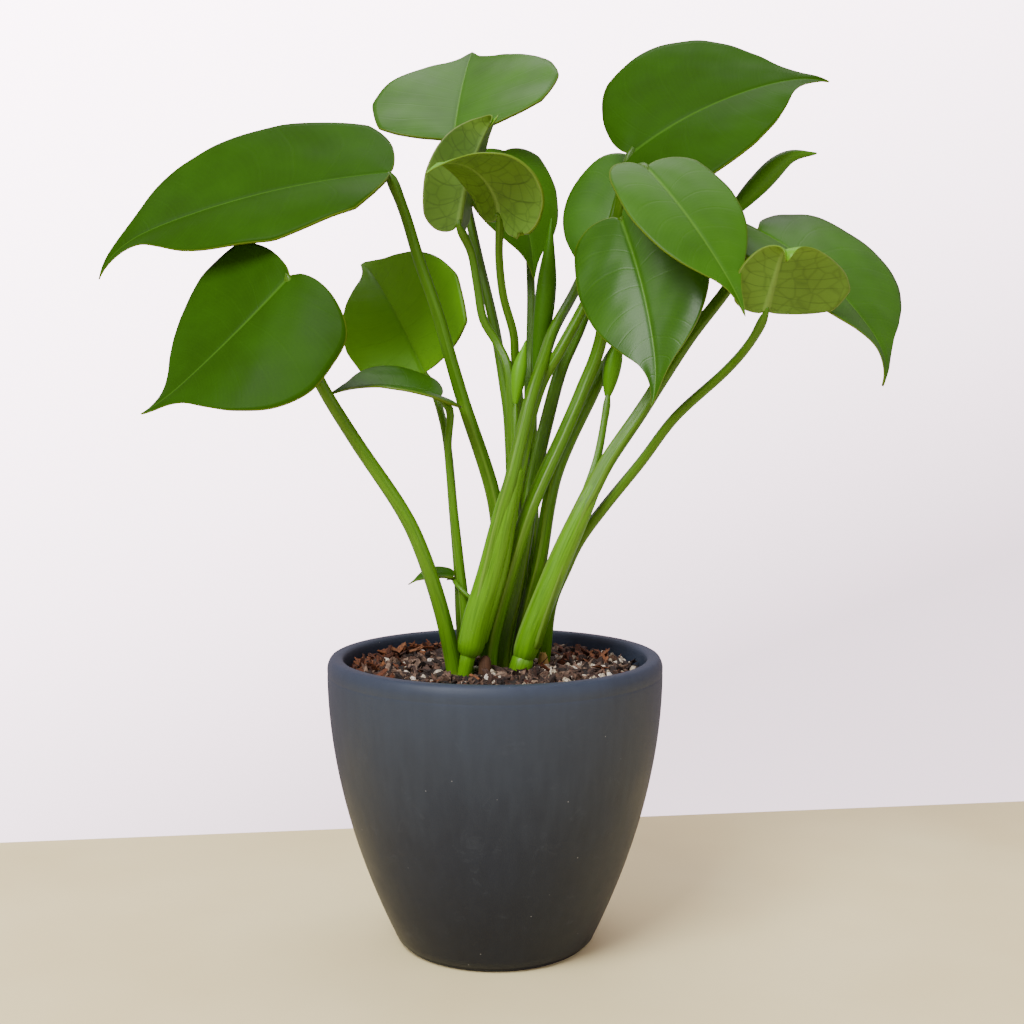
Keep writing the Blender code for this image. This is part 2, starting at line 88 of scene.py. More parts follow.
def unit(vectors: np.ndarray) -> np.ndarray:
    """Return vectors, one to a row, at length 1."""
    return vectors / np.maximum(np.linalg.norm(vectors, axis=-1, keepdims=True), 1e-12)


def smooth_step(values: np.ndarray, low: float, high: float) -> np.ndarray:
    """Return a soft step from 0 at low to 1 at high."""
    share = np.clip((values - low) / (high - low), 0, 1)
    return share * share * (3 - 2 * share)


def even_line(points: np.ndarray, places: np.ndarray) -> np.ndarray:
    """Return places along a smooth line through points.

    Args:
        points: the line's own points, one to a row.
        places: shares of the line's length, from 0 to 1.

    Returns:
        One point to a row.
    """
    ends = np.vstack([2 * points[0] - points[1], points, 2 * points[-1] - points[-2]])
    spans = len(points) - 1
    t = np.linspace(0, spans, spans * 40 + 1)
    first = np.minimum(t.astype(int), spans - 1)
    t = (t - first)[:, None]
    a, b, c, d = (ends[first + i] for i in range(4))
    fine = (2 * b + (c - a) * t + (2 * a - 5 * b + 4 * c - d) * t ** 2 + (3 * b - a - 3 * c + d) * t ** 3) / 2
    travelled = np.concatenate([[0], np.cumsum(np.linalg.norm(np.diff(fine, axis=0), axis=1))])
    return np.stack([np.interp(places * travelled[-1], travelled, axis) for axis in fine.T], axis=1)


def waves(points: np.ndarray, length: float, seed: int) -> np.ndarray:
    """Return a smooth random height for each point, from about -1 to 1.

    Args:
        points: places in metres, one to a row.
        length: typical distance between two crests, in metres.
        seed: picks the pattern.

    Returns:
        One height for each point.
    """
    draw = np.random.default_rng(seed)
    total = np.zeros(len(points))
    for _ in range(7):
        way = unit(draw.normal(size=3)) * 2 * math.pi / length * draw.uniform(0.6, 1.5)
        total += np.sin(points @ way + draw.uniform(0, 6.3))
    return total / 3.2


# ---- Finishes


def linear(colour: str) -> tuple[float, float, float, float]:
    """Return the linear RGBA of an sRGB hex colour such as "#3f7a18"."""
    parts = [int(colour[i : i + 2], 16) / 255 for i in (1, 3, 5)]
    return (*[p / 12.92 if p <= 0.04045 else ((p + 0.055) / 1.055) ** 2.4 for p in parts], 1.0)


def add_node(tree: bpy.types.NodeTree, kind: str, settings: dict | None = None,
             links: dict | None = None) -> bpy.types.Node:
    """Add a shader node.

    Args:
        tree: the material's node tree.
        kind: the node's type.
        settings: values by input name or number, or by the node's own property name.
        links: output sockets by input name or number.

    Returns:
        The node.
    """
    node = tree.nodes.new(kind)
    for name, value in (settings or {}).items():
        if name == "stops":
            ramp = node.color_ramp
            for index, (place, colour) in enumerate(value):
                stop = ramp.elements[index] if index < 2 else ramp.elements.new(place)
                stop.position = place
                stop.color = linear(colour)
        elif isinstance(name, int) or name in node.inputs:
            node.inputs[name].default_value = value
        else:
            setattr(node, name, value)
    for name, socket in (links or {}).items():
        tree.links.new(socket, node.inputs[name])
    return node


def new_finish(name: str) -> tuple[bpy.types.Material, bpy.types.NodeTree, bpy.types.Node]:
    """Return a new material with its node tree and its Principled shader.

    Args:
        name: the finish's name.

    Returns:
        The material, its node tree and its shader.
    """
    material = bpy.data.materials.new(name)
    material.use_nodes = True
    return material, material.node_tree, material.node_tree.nodes["Principled BSDF"]


def maths(tree: bpy.types.NodeTree, operation: str, *operands: Socket | float) -> Socket:
    """Return the result of one sum on sockets and plain numbers.

    Args:
        tree: the material's node tree.
        operation: name of the sum.
        operands: what goes in, in order.

    Returns:
        The result.
    """
    node = add_node(tree, "ShaderNodeMath", {"operation": operation})
    for index, operand in enumerate(operands):
        if isinstance(operand, (int, float)):
            node.inputs[index].default_value = operand
        else:
            tree.links.new(operand, node.inputs[index])
    return node.outputs[0]


def spread(tree: bpy.types.NodeTree, value: Socket, source: tuple = (0.0, 1.0), to: tuple = (0.0, 1.0),
           soft: bool = False) -> Socket:
    """Return a value moved from one range to another and kept inside it.

    Args:
        tree: the material's node tree.
        value: the value.
        source: the two ends of its own range.
        to: what they become.
        soft: whether the change starts and ends gently.

    Returns:
        The value in its new range.
    """
    settings = {1: source[0], 2: source[1], 3: to[0], 4: to[1]}
    if soft:
        settings = {"interpolation_type": "SMOOTHSTEP", **settings}
    return add_node(tree, "ShaderNodeMapRange", settings, {0: value}).outputs[0]


def blend(tree: bpy.types.NodeTree, amount: Socket, under: Socket | str, over: str) -> Socket:
    """Return a colour with another one laid over it by an amount; colours are sockets or hex.

    Args:
        tree: the material's node tree.
        amount: how much of the upper colour shows, from 0 to 1.
        under: the lower colour.
        over: the upper colour.

    Returns:
        The mixed colour.
    """
    node = add_node(tree, "ShaderNodeMix", {"data_type": "RGBA", 7: linear(over)}, {0: amount})
    if isinstance(under, str):
        node.inputs[6].default_value = linear(under)
    else:
        tree.links.new(under, node.inputs[6])
    return node.outputs[2]


def texture(tree: bpy.types.NodeTree, place: Socket, size_mm: float, kind: str = "Noise",
            **settings: float | str) -> Socket:
    """Return a noise or a cell pattern.

    Args:
        tree: the material's node tree.
        place: pattern coordinates in metres.
        size_mm: size of one blob or cell.
        kind: "Noise" or "Voronoi".
        settings: the texture's own inputs and properties.

    Returns:
        The noise's height, or the distance that the cell pattern gives.
    """
    settings["Scale"] = 1 / (size_mm * MM)
    node = add_node(tree, "ShaderNodeTex" + kind, settings, {"Vector": place})
    return node.outputs["Fac" if kind == "Noise" else "Distance"]


def ramp(tree: bpy.types.NodeTree, value: Socket, *stops: tuple) -> Socket:
    """Return a colour that follows a value through stops of (place, hex colour), the two end stops first."""
    return add_node(tree, "ShaderNodeValToRGB", {"stops": stops}, {0: value}).outputs[0]


def drawn_out(tree: bpy.types.NodeTree, place: Socket, scale: tuple) -> Socket:
    """Return pattern coordinates that are scaled by a different amount along each axis."""
    return add_node(tree, "ShaderNodeMapping", {"Scale": scale}, {0: place}).outputs[0]


def object_place(tree: bpy.types.NodeTree) -> Socket:
    """Return each point's place on its own object."""
    return add_node(tree, "ShaderNodeTexCoord").outputs["Object"]


def stored(tree: bpy.types.NodeTree, name: str) -> Socket:
    """Return a vector that is stored on the mesh."""
    return add_node(tree, "ShaderNodeAttribute", {"attribute_name": name}).outputs["Vector"]


def parts_of(tree: bpy.types.NodeTree, vector: Socket) -> tuple[Socket, Socket, Socket]:
    """Return a vector's three parts."""
    return tuple(add_node(tree, "ShaderNodeSeparateXYZ", links={0: vector}).outputs)


def dress_shader(tree: bpy.types.NodeTree, shader: bpy.types.Node, colour: Socket, height: Socket,
                 bump: tuple, sunken: bool = False) -> None:
    """Give a Principled shader its colour and its fine relief.

    Args:
        tree: the material's node tree.
        shader: the Principled shader.
        colour: the base colour.
        height: height of the relief.
        bump: its strength, and its depth in millimetres.
        sunken: whether high values go inwards.
    """
    tree.links.new(colour, shader.inputs["Base Color"])
    settings = {"Strength": bump[0], "Distance": bump[1] * MM, "invert": sunken}
    relief = add_node(tree, "ShaderNodeBump", settings, {"Height": height})
    tree.links.new(relief.outputs[0], shader.inputs["Normal"])


@dataclass(frozen=True)
class BladeSkin:
    """Living leaf skin, waxy above and duller below, with a net of veins that runs out from the midrib."""

    name: str
    deep: str  # between the veins, in the darker patches
    plain: str  # the leaf's overall colour
    young: str  # where the leaf's tone says that it is young
    vein: str
    rib: str
    margin: str
    vein_strength: float
    net_strength: float  # how far the small net of veins shows
    fine_strength: float
    rib_width: float  # millimetres, half the midrib's width at its base
    rib_strength: float
    roughness: float
    wax: float  # strength of the surface's reflections; 0.5 is that of plain polish
    primary_veins: float = 11
    fine_veins: float = 64
    patch_mm: float = 26
    wander_mm: float = 14
    net_mm: float = 7
    grain_mm: float = 0.9

    VEIN_BEND = -0.09  # how far forwards the veins bend at the margin, in midribs
    VEIN_WANDER = 0.016

    def make(self) -> bpy.types.Material:
        """Return the finish. Pattern coordinates are the blade's own attributes, so they follow its bends.

        Returns:
            The material.
        """
        material, tree, shader = new_finish(self.name)
        place = object_place(tree)
        along, share, tone = parts_of(tree, stored(tree, "skin"))
        rib_mm, edge_mm, _ = parts_of(tree, stored(tree, "edges"))
        patches = texture(tree, place, self.patch_mm, Detail=3)
        colour = blend(tree, spread(tree, patches, (0.35, 0.68)), self.deep, self.plain)
        colour = blend(tree, tone, colour, self.young)

        # Veins leave the midrib and bend forwards near the margin
        wander = maths(tree, "MULTIPLY", texture(tree, place, self.wander_mm, Detail=1), self.VEIN_WANDER)
        bend = maths(tree, "MULTIPLY_ADD", maths(tree, "POWER", share, 2.0), self.VEIN_BEND, along)
        line = maths(tree, "ADD", bend, wander)
        primary, fine = (self.veins(tree, line, count, low)
                         for count, low in ((self.primary_veins, 0.43), (self.fine_veins, 0.1)))
        primary = maths(tree, "MULTIPLY", primary, spread(tree, share, (0.75, 1.0), (1.0, 0.25)))
        net = texture(tree, place, self.net_mm, "Voronoi", feature="DISTANCE_TO_EDGE")
        net = spread(tree, net, (0.0, 0.09), (1.0, 0.0))
        for mask, strength in ((fine, self.fine_strength), (net, self.net_strength),
                               (primary, self.vein_strength)):
            colour = blend(tree, maths(tree, "MULTIPLY", mask, strength), colour, self.vein)

        # The midrib narrows towards the tip, and the margin is a thin pale line
        width = spread(tree, along, to=(self.rib_width, self.rib_width * 0.25))
        narrow = maths(tree, "DIVIDE", rib_mm, width)
        rib = spread(tree, narrow, (0.3, 1.4), (self.rib_strength, 0.0), soft=True)
        colour = blend(tree, rib, colour, self.rib)
        colour = blend(tree, spread(tree, edge_mm, (0.15, 0.55), (0.7, 0.0)), colour, self.margin)

        gloss = spread(tree, patches, to=(self.roughness - 0.06, self.roughness + 0.1))
        tree.links.new(gloss, shader.inputs["Roughness"])
        shader.inputs["Specular IOR Level"].default_value = self.wax
        relief = maths(tree, "MULTIPLY_ADD", texture(tree, place, self.grain_mm, Detail=2), 0.35, primary)
        relief = maths(tree, "MULTIPLY_ADD", fine, 0.12, relief)
        dress_shader(tree, shader, colour, relief, (0.22, 0.16), sunken=True)
        return material

    @staticmethod
    def veins(tree: bpy.types.NodeTree, line: Socket, count: float, low: float) -> Socket:
        """Return a mask of even veins.

        Args:
            tree: the material's node tree.
            line: where along the midrib each point's own vein starts, from 0 to 1.
            count: how many veins there are.
            low: how near to a vein's middle its colour starts, where 0.5 is the middle.

        Returns:
            A value from 0 between the veins to 1 on them.
        """
        near = maths(tree, "PINGPONG", maths(tree, "MULTIPLY", line, count), 0.5)
        return spread(tree, near, (low, 0.5), soft=True)


@dataclass(frozen=True)
class StalkSkin:
    """Living stalk skin: waxy, with fine lengthwise stripes, paler near the soil."""

    name: str
    foot: str
    low: str
    high: str
    stripe: str
    edge: str
    roughness: float = 0.38
    uneven_mm: float = 18
    fleck_mm: float = 1.6

    def make(self) -> bpy.types.Material:
        """Return the finish. It reads the tube's attributes: around (x, y), along (z, mm), and rise.

        Returns:
            The material.
        """
        material, tree, shader = new_finish(self.name)
        rise, ridge, tone = parts_of(tree, stored(tree, "edges"))
        place = object_place(tree)
        drift = spread(tree, texture(tree, place, self.uneven_mm, Detail=3), to=(-0.05, 0.06))
        colour = ramp(tree, maths(tree, "ADD", rise, drift),
                      (0.0, self.foot), (1.0, self.high), (0.03, self.low), (0.4, self.low))
        around = drawn_out(tree, stored(tree, "skin"), (5, 5, 0.035))
        stripes = add_node(tree, "ShaderNodeTexNoise", {"Scale": 1.4, "Detail": 4}, {0: around}).outputs[0]
        flecks = texture(tree, place, self.fleck_mm, "Voronoi")
        for mask, shade in ((spread(tree, stripes, (0.45, 0.7), (0.0, 0.7)), self.stripe),
                            (spread(tree, flecks, (0.08, 0.2), (0.12, 0.0)), self.edge),
                            (ridge, self.edge), (tone, self.stripe)):
            colour = blend(tree, mask, colour, shade)
        shader.inputs["Roughness"].default_value = self.roughness
        shader.inputs["Specular IOR Level"].default_value = 0.3
        dress_shader(tree, shader, colour, stripes, (0.6, 0.3))
        return material


@dataclass(frozen=True)
class MouldedPlastic:
    """Recycled polypropylene, moulded and left matt: a cloudy dark slate with scuffs and tiny pale specks."""

    # foot, body, shoulder and top follow the height: painted shade low on the pot, painted light high on it
    foot: str = "#080e1e"
    body: str = "#1a2130"
    shoulder: str = "#2c3442"
    top: str = "#323b4b"
    scuff: str = "#3c4350"
    speck: str = "#8f9196"
    cloud_mm: float = 34
    streak_mm: float = 5
    rub_mm: float = 11
    speck_mm: float = 9
    grain_mm: float = 0.7
    stretch: float = 0.16  # how far the streaks are drawn out upwards

    def make(self) -> bpy.types.Material:
        """Return the finish: painted shade darkens it towards the foot and painted light pales it towards the
        rim.

        Returns:
            The material.
        """
        material, tree, shader = new_finish("moulded_recycled_polypropylene")
        place = object_place(tree)
        cloud = texture(tree, place, self.cloud_mm, Detail=6, Roughness=0.6)
        streak = texture(tree, drawn_out(tree, place, (1, 1, self.stretch)), self.streak_mm, Detail=5)
        # The height share paints shade towards the foot and light towards the rim
        height = spread(tree, parts_of(tree, place)[2], (0.0, POT_HEIGHT), (0.12, 0.78))
        shade = maths(tree, "MULTIPLY_ADD", maths(tree, "ADD", streak, cloud), 0.18, height)
        colour = ramp(tree, shade, (0.3, self.foot), (1.0, self.top), (0.6, self.body), (0.85, self.shoulder))
        rub = texture(tree, place, self.rub_mm, Detail=8, Roughness=0.75, Distortion=0.6)
        colour = blend(tree, spread(tree, rub, (0.58, 0.78), (0.0, 0.4)), colour, self.scuff)
        specks = texture(tree, place, self.speck_mm, "Voronoi")
        colour = blend(tree, spread(tree, specks, (0.018, 0.04), (0.6, 0.0)), colour, self.speck)
        tree.links.new(spread(tree, cloud, to=(0.36, 0.62)), shader.inputs["Roughness"])
        shader.inputs["Specular IOR Level"].default_value = 0.25
        relief = maths(tree, "MULTIPLY_ADD", streak, 0.8, texture(tree, place, self.grain_mm, Detail=3))
        dress_shader(tree, shader, colour, relief, (0.35, 0.15))
        return material


@dataclass(frozen=True)
class Crumb:
    """One kind of crumb in the potting mix: dull and rough, each crumb in its own shade."""

    name: str
    shades: tuple
    pit: str  # colour painted into its pits and cracks, where the relief is low: painted shade
    grain_mm: float
    bump_mm: float
    roughness: float = 0.85

    def make(self) -> bpy.types.Material:
        """Return the finish. The attribute `shade` picks each crumb's colour.

        Returns:
            The material.
        """
        material, tree, shader = new_finish(self.name)
        own = add_node(tree, "ShaderNodeAttribute", {"attribute_name": "shade"}).outputs["Fac"]
        stops = [(index / (len(self.shades) - 1), shade) for index, shade in enumerate(self.shades)]
        colour = ramp(tree, own, stops[0], stops[-1], *stops[1:-1])
        grain = texture(tree, object_place(tree), self.grain_mm, Detail=4, Roughness=0.7)
        # Painted shade: the pit colour darkens the low spots of each crumb's relief
        colour = blend(tree, spread(tree, grain, (0.56, 0.38), (0.0, 0.75)), colour, self.pit)
        shader.inputs["Roughness"].default_value = self.roughness
        dress_shader(tree, shader, colour, grain, (0.8, self.bump_mm))
        return material


# ---- Pieces made from primitives


def settle(piece: bpy.types.Object, name: str, slot: Slot, *replaced: str) -> None:
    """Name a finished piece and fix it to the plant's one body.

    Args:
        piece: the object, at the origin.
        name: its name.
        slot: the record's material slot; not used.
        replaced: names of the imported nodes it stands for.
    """
    piece.name = name
    piece.data.name = name
    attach(piece, ROOT)
    if replaced:
        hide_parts(*replaced)
    LOG.info("%s: %d faces", name, len(piece.data.polygons))


def start_clean(piece: bpy.types.Object | None = None) -> None:
    """Leave edit mode, deselect everything, and then make a given piece the active one.

    Args:
        piece: the object to make active, if there is one.
    """
    if bpy.context.mode != "OBJECT":
        bpy.ops.object.mode_set(mode="OBJECT")
    bpy.ops.object.select_all(action="DESELECT")
    if piece:
        piece.select_set(True)
        bpy.context.view_layer.objects.active = piece


def places_of(piece: bpy.types.Object) -> np.ndarray:
    """Return a mesh's vertices, one to a row.

    Args:
        piece: the object.

    Returns:
        The places, in its own metres.
    """
    flat = np.empty(len(piece.data.vertices) * 3)
    piece.data.vertices.foreach_get("co", flat)
    return flat.reshape(-1, 3)


def move_to(piece: bpy.types.Object, places: np.ndarray) -> None:
    """Put a mesh's vertices at places."""
    piece.data.vertices.foreach_set("co", places.astype(np.float32).ravel())
    piece.data.update()


def mark(piece: bpy.types.Object, name: str, values: np.ndarray) -> None:
    """Store a vector or a number for each vertex, for the finish to read.

    Args:
        piece: the object.
        name: the attribute's name.
        values: one value or one row for each vertex.
    """
    kind, field = ("FLOAT_VECTOR", "vector") if values.ndim == 2 else ("FLOAT", "value")
    layer = piece.data.attributes.new(name, kind, "POINT")
    layer.data.foreach_set(field, values.astype(np.float32).ravel())


def marked(piece: bpy.types.Object, name: str) -> np.ndarray:
    """Return a vector that is stored for each vertex, one to a row.

    Args:
        piece: the object.
        name: the attribute's name.

    Returns:
        The stored vectors.
    """
    values = np.empty(len(piece.data.vertices) * 3, np.float32)
    piece.data.attributes[name].data.foreach_get("vector", values)
    return values.reshape(-1, 3)


def grid_piece(columns: int, rows: int) -> bpy.types.Object:
    """Return a flat grid from -1 to 1 both ways.

    Args:
        columns: faces across.
        rows: faces along.

    Returns:
        The object.
    """
    start_clean()
    bpy.ops.mesh.primitive_grid_add(x_subdivisions=columns, y_subdivisions=rows, size=2)
    return bpy.context.object


def tube_piece(sides: int, rings: int) -> bpy.types.Object:
    """Return a closed tube along Z, of radius 1 and from 0 to rings - 1, cut into rings.

    Args:
        sides: faces around.
        rings: rings of vertices, with both ends.

    Returns:
        The object.
    """
    start_clean()
    bpy.ops.mesh.primitive_cylinder_add(vertices=sides, radius=1, depth=1, end_fill_type="NGON")
    piece = bpy.context.object
    bpy.ops.object.mode_set(mode="EDIT")
    bpy.ops.mesh.select_all(action="DESELECT")
    bpy.ops.mesh.select_mode(type="EDGE")
    bpy.ops.object.mode_set(mode="OBJECT")
    places = places_of(piece)
    for edge in piece.data.edges:
        edge.select = abs(places[edge.vertices[0], 2] - places[edge.vertices[1], 2]) > 0.5
    bpy.ops.object.mode_set(mode="EDIT")
    bpy.ops.mesh.subdivide(number_cuts=rings - 2)
    bpy.ops.object.mode_set(mode="OBJECT")
    places = places_of(piece)
    places[:, 2] = np.rint((places[:, 2] + 0.5) * (rings - 1))
    move_to(piece, places)
    return piece


def finish_mesh(piece: bpy.types.Object, merge: float = 0.0, angle: float = 50.0) -> None:
    """Merge doubles closer than merge (metres), and shade the mesh smooth up to an angle in degrees.

    Args:
        piece: the object.
        merge: the distance; 0 merges nothing.
        angle: the angle.
    """
    start_clean(piece)
    if merge:
        bpy.ops.object.mode_set(mode="EDIT")
        bpy.ops.mesh.select_all(action="SELECT")
        bpy.ops.mesh.remove_doubles(threshold=merge)
        bpy.ops.object.mode_set(mode="OBJECT")
    bpy.ops.object.shade_smooth_by_angle(angle=math.radians(angle))


def apply_modifiers(piece: bpy.types.Object) -> None:
    """Apply every modifier of a piece in turn.

    Args:
        piece: the object.
    """
    start_clean(piece)
    for modifier in list(piece.modifiers):
        bpy.ops.object.modifier_apply(modifier=modifier.name)


# ---- Leaf blades


@dataclass(frozen=True)
class Blade:
    """One open leaf blade. Points are millimetres from the crown, angles are degrees."""

    base: tuple  # where the stalk meets the blade
    tip: tuple  # where the midrib has got to at the share `at` of its length
    faces: tuple  # compass turn from -Y towards +X, and rise, of the upper side
    halves: tuple  # widths of the left and right halves
    lobes: tuple = (1, 1)  # how far the two lobes reach back past the stalk
    droop: float = 20  # bend of the midrib along its length
    hook: float = 0  # further bend of the last part
    swing: float = 0  # sideways bend of the midrib
    hook_swing: float = 0  # further sideways bend of the last part
    twist: float = 0
    fold: tuple = (12, 12)  # rise of each half at the midrib
    curl: tuple = (-12, -12)  # further rise of each half at its margin
    lobe_droop: float = 15
    at: float = 1.0
    hook_from: float = 0.7
    tone: float = 0.1  # 0 is a grown leaf, 1 a young one
    tip_tone: float = 0.0  # how much younger the tip is
    ripple: float = 0.7  # height of the margin's waves
    skin: str = "upper"  # which of the plant's finishes its upper side has

    COLUMNS = 56
    ROWS = 96
    FOLD_STEPS = 8  # short steps in which a half's bend is added up
    RIB_CROWDING = 1.6  # columns stand closer together near the midrib
    VEIN_LEAN = 1.35  # power by which each vein's start lags behind its own margin point
    THICKNESS = 0.5 * MM
    HALF_OUTLINE = ((0, 0), (0.10, -0.09), (0.28, -0.14), (0.52, -0.14), (0.76, -0.07), (0.92, 0.06),
                    (1, 0.23), (0.98, 0.38), (0.88, 0.52), (0.69, 0.64), (0.46, 0.73), (0.25, 0.80),
                    (0.12, 0.87), (0.05, 0.94), (0, 1))
    LOBE_DEPTH = 0.15
    SHOULDER = 0.13  # how far a margin without a lobe draws forwards at its corner
    GROOVE = 0.45 * MM  # depth of the channel above the midrib
    GROOVE_WIDTH = 1.1  # millimetres
    VEIN_LIFT = 0.05 * MM  # height of the skin between two veins
    WAVE = 46 * MM  # distance between two waves of the margin
    DIMPLE = 17 * MM  # distance between two dimples of the skin
    DIMPLE_LIFT = 0.16 * MM
    BASE_GAIN = 1.1 * MM  # how much thicker the blade gets near its stalk

    def midrib(self, places: np.ndarray) -> tuple[np.ndarray, np.ndarray]:
        """Return the midrib's places, for a length of 1, and its sideways, forward and upward directions.

        Args:
            places: shares of the midrib's length; below 0 is in the lobes.

        Returns:
            An array of places, and an array of 3 by 3 matrices with the directions as columns.
        """
        fine = np.linspace(-0.2, 1, 241)
        hooked = np.clip((fine - self.hook_from) / (1 - self.hook_from), 0, None) ** 2
        ahead = np.clip(fine, 0, None)
        bent = self.droop * fine + self.hook * hooked
        pitch = np.where(fine < 0, self.lobe_droop * fine / self.LOBE_DEPTH, bent)
        yaw = self.swing * ahead ** 1.5 + self.hook_swing * hooked
        turns = np.array([
            Euler((-math.radians(p), 0, 0)).to_matrix() @ Euler((0, -math.radians(r), 0)).to_matrix()
            for p, r in zip(pitch, self.twist * ahead)
        ])
        yaws = np.array([Euler((0, 0, -math.radians(y))).to_matrix() for y in yaw])
        turns = yaws @ turns
        steps = (turns[:-1, :, 1] + turns[1:, :, 1]) / 2 * (fine[1] - fine[0])
        line = np.concatenate([np.zeros((1, 3)), np.cumsum(steps, axis=0)])
        line -= [np.interp(0, fine, axis) for axis in line.T]
        centres = np.stack([np.interp(places, fine, axis) for axis in line.T], axis=-1)
        frames = np.stack([np.interp(places, fine, axis) for axis in turns.reshape(-1, 9).T], axis=-1)
        return centres, frames.reshape(*np.shape(places), 3, 3)

    def facing(self) -> np.ndarray:
        """Return the direction that the upper side faces."""
        turn, rise = np.radians(self.faces)
        return np.array((math.sin(turn) * math.cos(rise), -math.cos(turn) * math.cos(rise), math.sin(rise)))

    def laid_out(self, signed: np.ndarray, rows: np.ndarray) -> dict[str, np.ndarray]:
        """Return where grid points go on the flat blade.

        Args:
            signed: from -1 at the left margin to 1 at the right one.
            rows: from 0 at the notch to 1 at the tip, along the margin.

        Returns:
            For each point, its share of the half's width, its place along the midrib, its forward place, its
            millimetres from the midrib and from the margin, and its sideways and upward places in metres.
        """
        outline = even_line(np.array([(x, y, 0) for x, y in self.HALF_OUTLINE], float), rows)
        share = np.abs(signed)
        rib = rows ** self.VEIN_LEAN
        right = signed > 0

        def own(pair: tuple) -> np.ndarray:
            """Return each point's own value from a pair for the left and the right half."""
            return np.where(right, pair[1], pair[0])

        across = np.clip(outline[:, 0], 0, None)
        lobe, edge = own(self.lobes), outline[:, 1]
        rounded = (1 - lobe) * self.SHOULDER * across ** 3 * (1 - smooth_step(edge, 0.1, 0.45))
        edge = np.where(edge < 0, edge * lobe, edge) + rounded
        forward = rib + (edge - rib) * share
        across = across * share
        half = own(self.halves)
        out, rise = 0.0, 0.0
        for step in range(self.FOLD_STEPS):
            angle = np.radians(own(self.fold) + own(self.curl) * across * (step + 0.5) / self.FOLD_STEPS)
            out = out + np.cos(angle) * across / self.FOLD_STEPS
            rise = rise + np.sin(angle) * across / self.FOLD_STEPS
        margin_mm = (1 - share) * np.clip(outline[:, 0], 0, None) * half
        sideways = np.where(right, out, -out) * half * MM
        return {"share": share, "rib": rib, "forward": forward, "rib_mm": across * half, "edge_mm": margin_mm,
                "out": sideways, "rise": rise * half * MM}

    def build(self, name: str, upper: bpy.types.Material, under: bpy.types.Material, seed: int) -> None:
        """Make the blade: a bent sheet with a channelled midrib, sunken veins, waves and real thickness.

        Args:
            name: the blade's own name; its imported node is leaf_ and that name.
            upper: finish of the upper side.
            under: finish of the underside.
            seed: picks its waves.
        """
        piece = grid_piece(self.COLUMNS, self.ROWS)
        flat = places_of(piece)
        signed = np.sign(flat[:, 0]) * np.abs(flat[:, 0]) ** self.RIB_CROWDING
        rows = np.clip((flat[:, 1] + 1) / 2, 0, 1)
        at = self.laid_out(signed, rows)
        centres, frames = self.midrib(at["forward"])
        reach = self.midrib(np.array([self.at]))[0][0]
        base, aim = crown_points(self.base), crown_points(self.tip)
        length = np.linalg.norm(aim - base) / np.linalg.norm(reach)
        placed = self.axes(aim - base, self.facing()) @ self.axes(reach, np.array((0.0, 0, 1))).T

        body = smooth_step(at["rib_mm"], 1, 12) * smooth_step(at["edge_mm"], 0, 6)
        bent = at["rib"] + BladeSkin.VEIN_BEND * at["share"] ** 2
        veins = np.abs(bent * BladeSkin.primary_veins % 1 - 0.5) * 2
        lift = self.VEIN_LIFT * (1 - smooth_step(veins, 0.3, 1)) * body
        lift = lift - self.GROOVE * np.exp(-((at["rib_mm"] / self.GROOVE_WIDTH) ** 2)) * (1 - 0.7 * at["rib"])
        sheet = np.stack([at["out"], at["forward"] * length, np.zeros(len(flat))], axis=1)
        loose = smooth_step(at["share"], 0.15, 1)
        lift = lift + self.ripple * MM * loose * waves(sheet, self.WAVE, seed)
        dimples = waves(sheet, self.DIMPLE, seed + 50)
        lift = lift + self.DIMPLE_LIFT * dimples * smooth_step(at["share"], 0.1, 0.5)

        sideways, upward = frames[:, :, 0], frames[:, :, 2]
        local = centres * length + sideways * at["out"][:, None] + upward * (at["rise"] + lift)[:, None]
        move_to(piece, base + local @ placed.T)
        tone = self.tone + self.tip_tone * smooth_step(at["rib"], 0.55, 0.8)
        mark(piece, "skin", np.stack([at["rib"], at["share"], tone], axis=1))
        mark(piece, "edges", np.stack([at["rib_mm"], at["edge_mm"], at["edge_mm"]], axis=1))
        piece.data.materials.append(upper)
        piece.data.materials.append(under)
        finish_mesh(piece, merge=0.01 * MM, angle=180)

        sheet_count = len(piece.data.vertices)
        wall = piece.modifiers.new("thickness", "SOLIDIFY")
        wall.thickness = self.THICKNESS
        wall.offset = -1
        wall.material_offset = 1
        wall.material_offset_rim = 0
        apply_modifiers(piece)
        self.thicken_base(piece, sheet_count)
        settle(piece, "blade_" + name, Slot.LEAF, "leaf_" + name)

    def thicken_base(self, piece: bpy.types.Object, sheet_count: int) -> None:
        """Push the underside out towards the stalk, where the blade is thickest.

        Args:
            piece: the blade, whose underside's vertices follow the upper side's.
            sheet_count: how many vertices the upper side has.
        """
        places = places_of(piece)
        along = marked(piece, "skin")[sheet_count:, 0]
        away = unit(places[sheet_count:] - places[:sheet_count])
        height = self.BASE_GAIN * (1 - 0.85 * along) * np.exp(-((along / (1.5 - along)) ** 2))
        places[sheet_count:] += away * (height * smooth_step(along, -0.01, 0.03))[:, None]
        move_to(piece, places)

    @staticmethod
    def axes(along: np.ndarray, up: np.ndarray) -> np.ndarray:
        """Return a matrix whose columns are sideways, along and up.

        Args:
            along: the second direction.
            up: a direction that the third one leans towards.

        Returns:
            A 3 by 3 matrix.
        """
        along = unit(along)
        up = unit(up - along * (up @ along))
        return np.stack([np.cross(along, up), along, up], axis=1)


